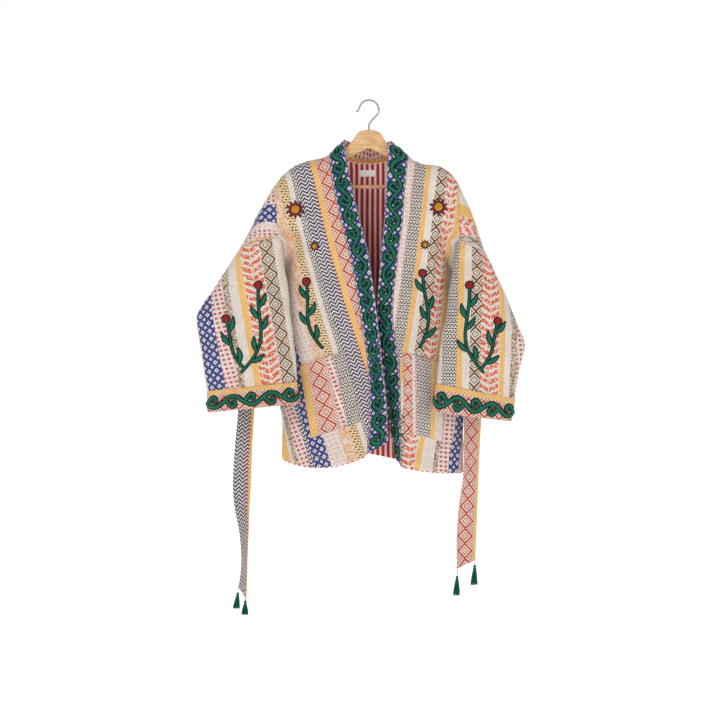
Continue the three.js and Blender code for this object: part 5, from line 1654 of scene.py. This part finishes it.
# Tassels: a twisted cord, a bound head and many fine strands
# Each row is the share of the belt's half width, lean, cord and skirt.
TASSELS = {
    "left": [[-0.85, -3, 10, 32], [0.85, -1, 5, 28]],
    "right": [[0.92, -1, 16, 40], [-0.92, -1, 10, 42]],
}
LEAN_OVER = 30
HEAD = table("down reach", [
    [-0.6, 0.5], [0, 1.9], [1.6, 3.6], [3.6, 4.1], [5.2, 3.2], [6, 2.7], [7, 2.8], [8.4, 3.6],
])
STRANDS = 110
STRAND_STEPS = 7
GOLDEN_TURN = 2.39996  # from one strand to the next, so that they fill the round evenly
chance = np.random.default_rng(11)
for side in SIDES:
    end, across, slant = belt_ends[side]
    for letter, (share, lean, cord, skirt) in zip("ab", TASSELS[side]):
        drop = 0.6 + 1.1 * abs(slant) / BELT_WIDTH
        top = end + across * share * BELT_WIDTH / 2 + UP * (share * slant / 2 - drop)

        def down(distance):
            distance = np.asarray(distance, float)
            return top + np.stack([lean * distance / LEAN_OVER, 0 * distance, -distance], -1)

        gathered = Gathered()
        depth = np.linspace(-1, cord + 1, 22)
        for turn in (0, math.pi):
            twist = depth * 1.5 + turn
            middle = down(depth) + 0.45 * np.stack([np.cos(twist), np.sin(twist), 0 * twist], -1)
            gathered.tube(middle, np.full(22, 0.6), 6)
        gathered.tube(down(cord + HEAD["down"]), HEAD["reach"], 16, cross=(0, 1, 0))
        for ring in (5.2, 6.1, 7.0):
            angle = np.linspace(0, 2 * math.pi, 25)
            circle = np.stack([np.cos(angle), np.sin(angle), 0 * angle], -1)
            middle = down(np.full(25, cord + ring)) + 3.0 * circle
            gathered.tube(middle, np.full(25, 0.5), 5, kind=1, cross=(0, 0, 1))
        for k in range(STRANDS):
            turn = GOLDEN_TURN * k
            root = 2.9 * math.sqrt((k + 0.5) / STRANDS)
            spread = 9.4 * math.sqrt((k + 0.5) / STRANDS)
            t = np.linspace(0, 1, STRAND_STEPS)
            out = mix(root, spread, t**0.8) + chance.normal(0, 0.18, STRAND_STEPS) * t
            bend = turn + 0.14 * np.sin(3 * t + chance.uniform(0, 6))
            fall = down(cord + 7.6 + t * skirt * chance.uniform(0.9, 1.0))
            middle = fall + np.stack([out * np.cos(bend), out * np.sin(bend), 0 * t], -1)
            gathered.tube(middle, 0.62 - 0.3 * t, 3, cross=(math.cos(turn), math.sin(turn), 0))
        name = "tassel_" + side + "_" + letter
        finished(gathered.piece(name + "_threads", [green_thread, green_thread]), "tassel", name)

# The hanger: two glued halves of pale wood, a bar and a wire hook
BOSS = np.array([[0, -70], [14, -71], [29, -78], [36, -92], [48, -107]], float)
ARM_TO = {"left": 0.56, "right": 0.6}
WOOD_APEX = -114
WOOD_SLOPE = 0.51
WOOD_HIGH = 22
WOOD_HALF = 6.3
BAR_Z = -208
BAR_RADIUS = 4.4
BAR_REACH = 178
WIRE = 1.9
HOOK_RADIUS = 22 + WIRE
SQUARED = 0.55


def wood_top(side):
    u = np.linspace(0.03, ARM_TO[side], 40)
    arm = section_points(FRONT[side], side, u)[0]
    return np.concatenate([BOSS, np.stack([OUT[side] * arm[:, 0], arm[:, 2] - 1.5], -1)])


wood = Gathered()
tops = {side: wood_top(side) for side in SIDES}
reach_left, reach_right = tops["left"][-1, 0], tops["right"][-1, 0]
x = np.concatenate([np.linspace(-reach_left, -0.5, 110), [0], np.linspace(0.5, reach_right, 110)])
line = np.where(x < 0, np.interp(-x, *tops["left"].T), np.interp(x, *tops["right"].T))
line = softened(line, 2)
floor_line = np.minimum(WOOD_APEX - WOOD_SLOPE * np.sqrt(x * x + 16), line - WOOD_HIGH)
half_high = (line - floor_line) / 2
half_wide = np.full(len(x), WOOD_HALF)
for past, share in ((0, 0.97), (1, 0.995)):
    for k in (past, len(x) - 1 - past):
        half_high[k] *= share
        half_wide[k] *= share
groove = np.argmin(np.abs(x))
half_high[groove] -= 0.5
half_wide[groove] -= 0.5
middle_z = (line + floor_line) / 2
angle = np.linspace(0, 2 * math.pi, 41)
cosine, sine = np.cos(angle), np.sin(angle)
square = lambda v: np.sign(v) * np.abs(v) ** SQUARED
grid = np.stack([
    np.broadcast_to(x[:, None], (len(x), 41)),
    half_wide[:, None] * square(cosine)[None],
    middle_z[:, None] + half_high[:, None] * square(sine)[None],
], -1)
grid[:, -1] = grid[:, 0]
END_RINGS = ((0, -4.5, 0), (0, -3.6, 0.72), (-1, 3.6, 0.72), (-1, 4.5, 0))
ends = []
for at, out, size in END_RINGS:
    row = grid[at]
    high = mix(row[:, 2].mean(), row[:, 2], size)
    ends.append(np.stack([np.full(41, row[0, 0] + out), row[:, 1] * size, high], -1))
grid = np.concatenate([[ends[0]], [ends[1]], grid, [ends[2]], [ends[3]]])
flat = np.stack([grid[..., 0], np.broadcast_to(angle * 8, grid.shape[:2])], -1)
wood.add(grid, flat, np.zeros(40))
bar = Gathered()
along = np.linspace(-BAR_REACH, BAR_REACH, 30)
middle = np.stack([along, np.zeros(30), np.full(30, BAR_Z)], -1)
bar.tube(middle, np.full(30, BAR_RADIUS), 24)

arch = np.radians(np.linspace(-22, 172, 25))
hook_line = np.concatenate([
    [[0, 0, -90], [0, 0, -74], [0, 0, -58], [3, 0, -52], [8.5, 0, -46], [14, 0, -40]],
    np.stack([HOOK_RADIUS * np.cos(arch), 0 * arch, HOOK_RADIUS * (np.sin(arch) - 1) + WIRE], -1),
    [[-26.5, 0, -24], [-30, 0, -25.5]],
])
hook_line = softened(smooth(hook_line, np.linspace(0, len(hook_line) - 1, 200)), 3)
tip = hook_line[-1] + unit(hook_line[-1] - hook_line[-2]) * np.array([[0.9], [1.6], [1.9]])
hook_line = np.concatenate([hook_line, tip])
hook = Gathered()
hook.tube(hook_line, np.concatenate([np.full(200, WIRE), [WIRE * 0.86, WIRE * 0.5, 0.01]]), 18)


def wood_material(name, dark, light):
    """Pale pine: long grain under a satin varnish."""
    material, tree, shader = new_material(name, 0.42, coat=0.25)
    shader.inputs["Specular IOR Level"].default_value = 0.4
    grain = noise(tree, 60, 4.0, stretch=(0.09, 1.4, 1.0))
    rings = (grain * 7).math("FRACT")
    fine = noise(tree, 700, 2.0, stretch=(0.05, 1, 1))
    value = rings * 0.55 + fine * 0.45
    between_them = mix(np.array(light), np.array(dark), 0.45)
    colour = shades(tree, value, (0.15, light), (0.62, between_them), (0.9, dark))
    tree.links.new(colour, shader.inputs["Base Color"])
    bump(tree, shader, value, 0.25, 0.0002)
    return material


pine = wood_material("pine", (176, 124, 74), (226, 188, 138))
wire_material, tree, shader = new_material("wire", 0.3, metallic=1.0)
scratch = noise(tree, 500, 3.0, stretch=(1, 1, 0.1))
colour = shades(tree, scratch, (0.3, (120, 116, 112)), (0.7, (176, 172, 168)))
tree.links.new(colour, shader.inputs["Base Color"])
bump(tree, shader, scratch, 0.12, 0.0001)
finished(wood.piece("hanger_wood_fine", [pine], 40), "wood", "hanger_wood")
finished(bar.piece("hanger_bar_fine", [pine]), "wood", "hanger_bar")
finished(hook.piece("hanger_hook_fine", [wire_material]), "wire", "hanger_hook")

# The camera stands level with the middle of the jacket, at the photo's distance.
camera_data = bpy.data.cameras.new("camera")
camera_data.lens = 70
camera = bpy.data.objects.new("camera", camera_data)
camera.location = (-0.0216, -3.39, -0.6274)
camera.rotation_euler = (math.pi / 2, 0, 0)
bpy.context.scene.collection.objects.link(camera)
bpy.context.scene.camera = camera

# A pale floor and soft light
FLOOR = -1.3
FLOOR_REACH = 30000
square_corners = np.array([[-1, -1, 0], [1, -1, 0], [1, 1, 0], [-1, 1, 0]])
floor_points = square_corners * [FLOOR_REACH, FLOOR_REACH, 0] + [0, 0, FLOOR / MM]
floor = new_object("floor", floor_points, [[0, 1, 2, 3]], [])
floor_material, tree, shader = new_material("floor", 0.9)
tone = noise(tree, 0.6, 2.0)
colour = ramp(tree, tone, [(0.3, [0.93, 0.93, 0.93, 1]), (0.7, [0.96, 0.96, 0.955, 1])], False)
tree.links.new(colour, shader.inputs["Base Color"])
shader.inputs["Emission Color"].default_value = (1, 1, 1, 1)
shader.inputs["Emission Strength"].default_value = 0.62
floor.data.materials.append(floor_material)

world = bpy.data.worlds.new("studio")
bpy.context.scene.world = world
world.use_nodes = True
world.node_tree.nodes["Background"].inputs["Color"].default_value = (1, 1, 1, 1)
glow = world.node_tree.nodes.new("ShaderNodeLightPath")
strength = Wire(world.node_tree, glow.outputs["Is Camera Ray"]) * 0.45 + 0.55
world.node_tree.links.new(strength.socket, world.node_tree.nodes["Background"].inputs["Strength"])
bpy.context.scene.view_settings.view_transform = "Standard"

LIGHTS = [
    # name, place, aimed at, size, power
    ("key", (-1.7, -2.6, 1.2), (0, 0, -0.6), 1.6, 34),
    ("fill", (2.2, -2.2, 0.2), (0, 0, -0.6), 2.0, 14),
    ("rim", (0.3, 2.4, 1.6), (0, 0, -0.6), 2.0, 24),
]
for name, place, aim, size, power in LIGHTS:
    data = bpy.data.lights.new(name, "AREA")
    data.size = size
    data.energy = power
    lamp = bpy.data.objects.new(name, data)
    lamp.location = place
    lamp.rotation_euler = (Vector(aim) - Vector(place)).to_track_quat("-Z", "Y").to_euler()
    bpy.context.scene.collection.objects.link(lamp)
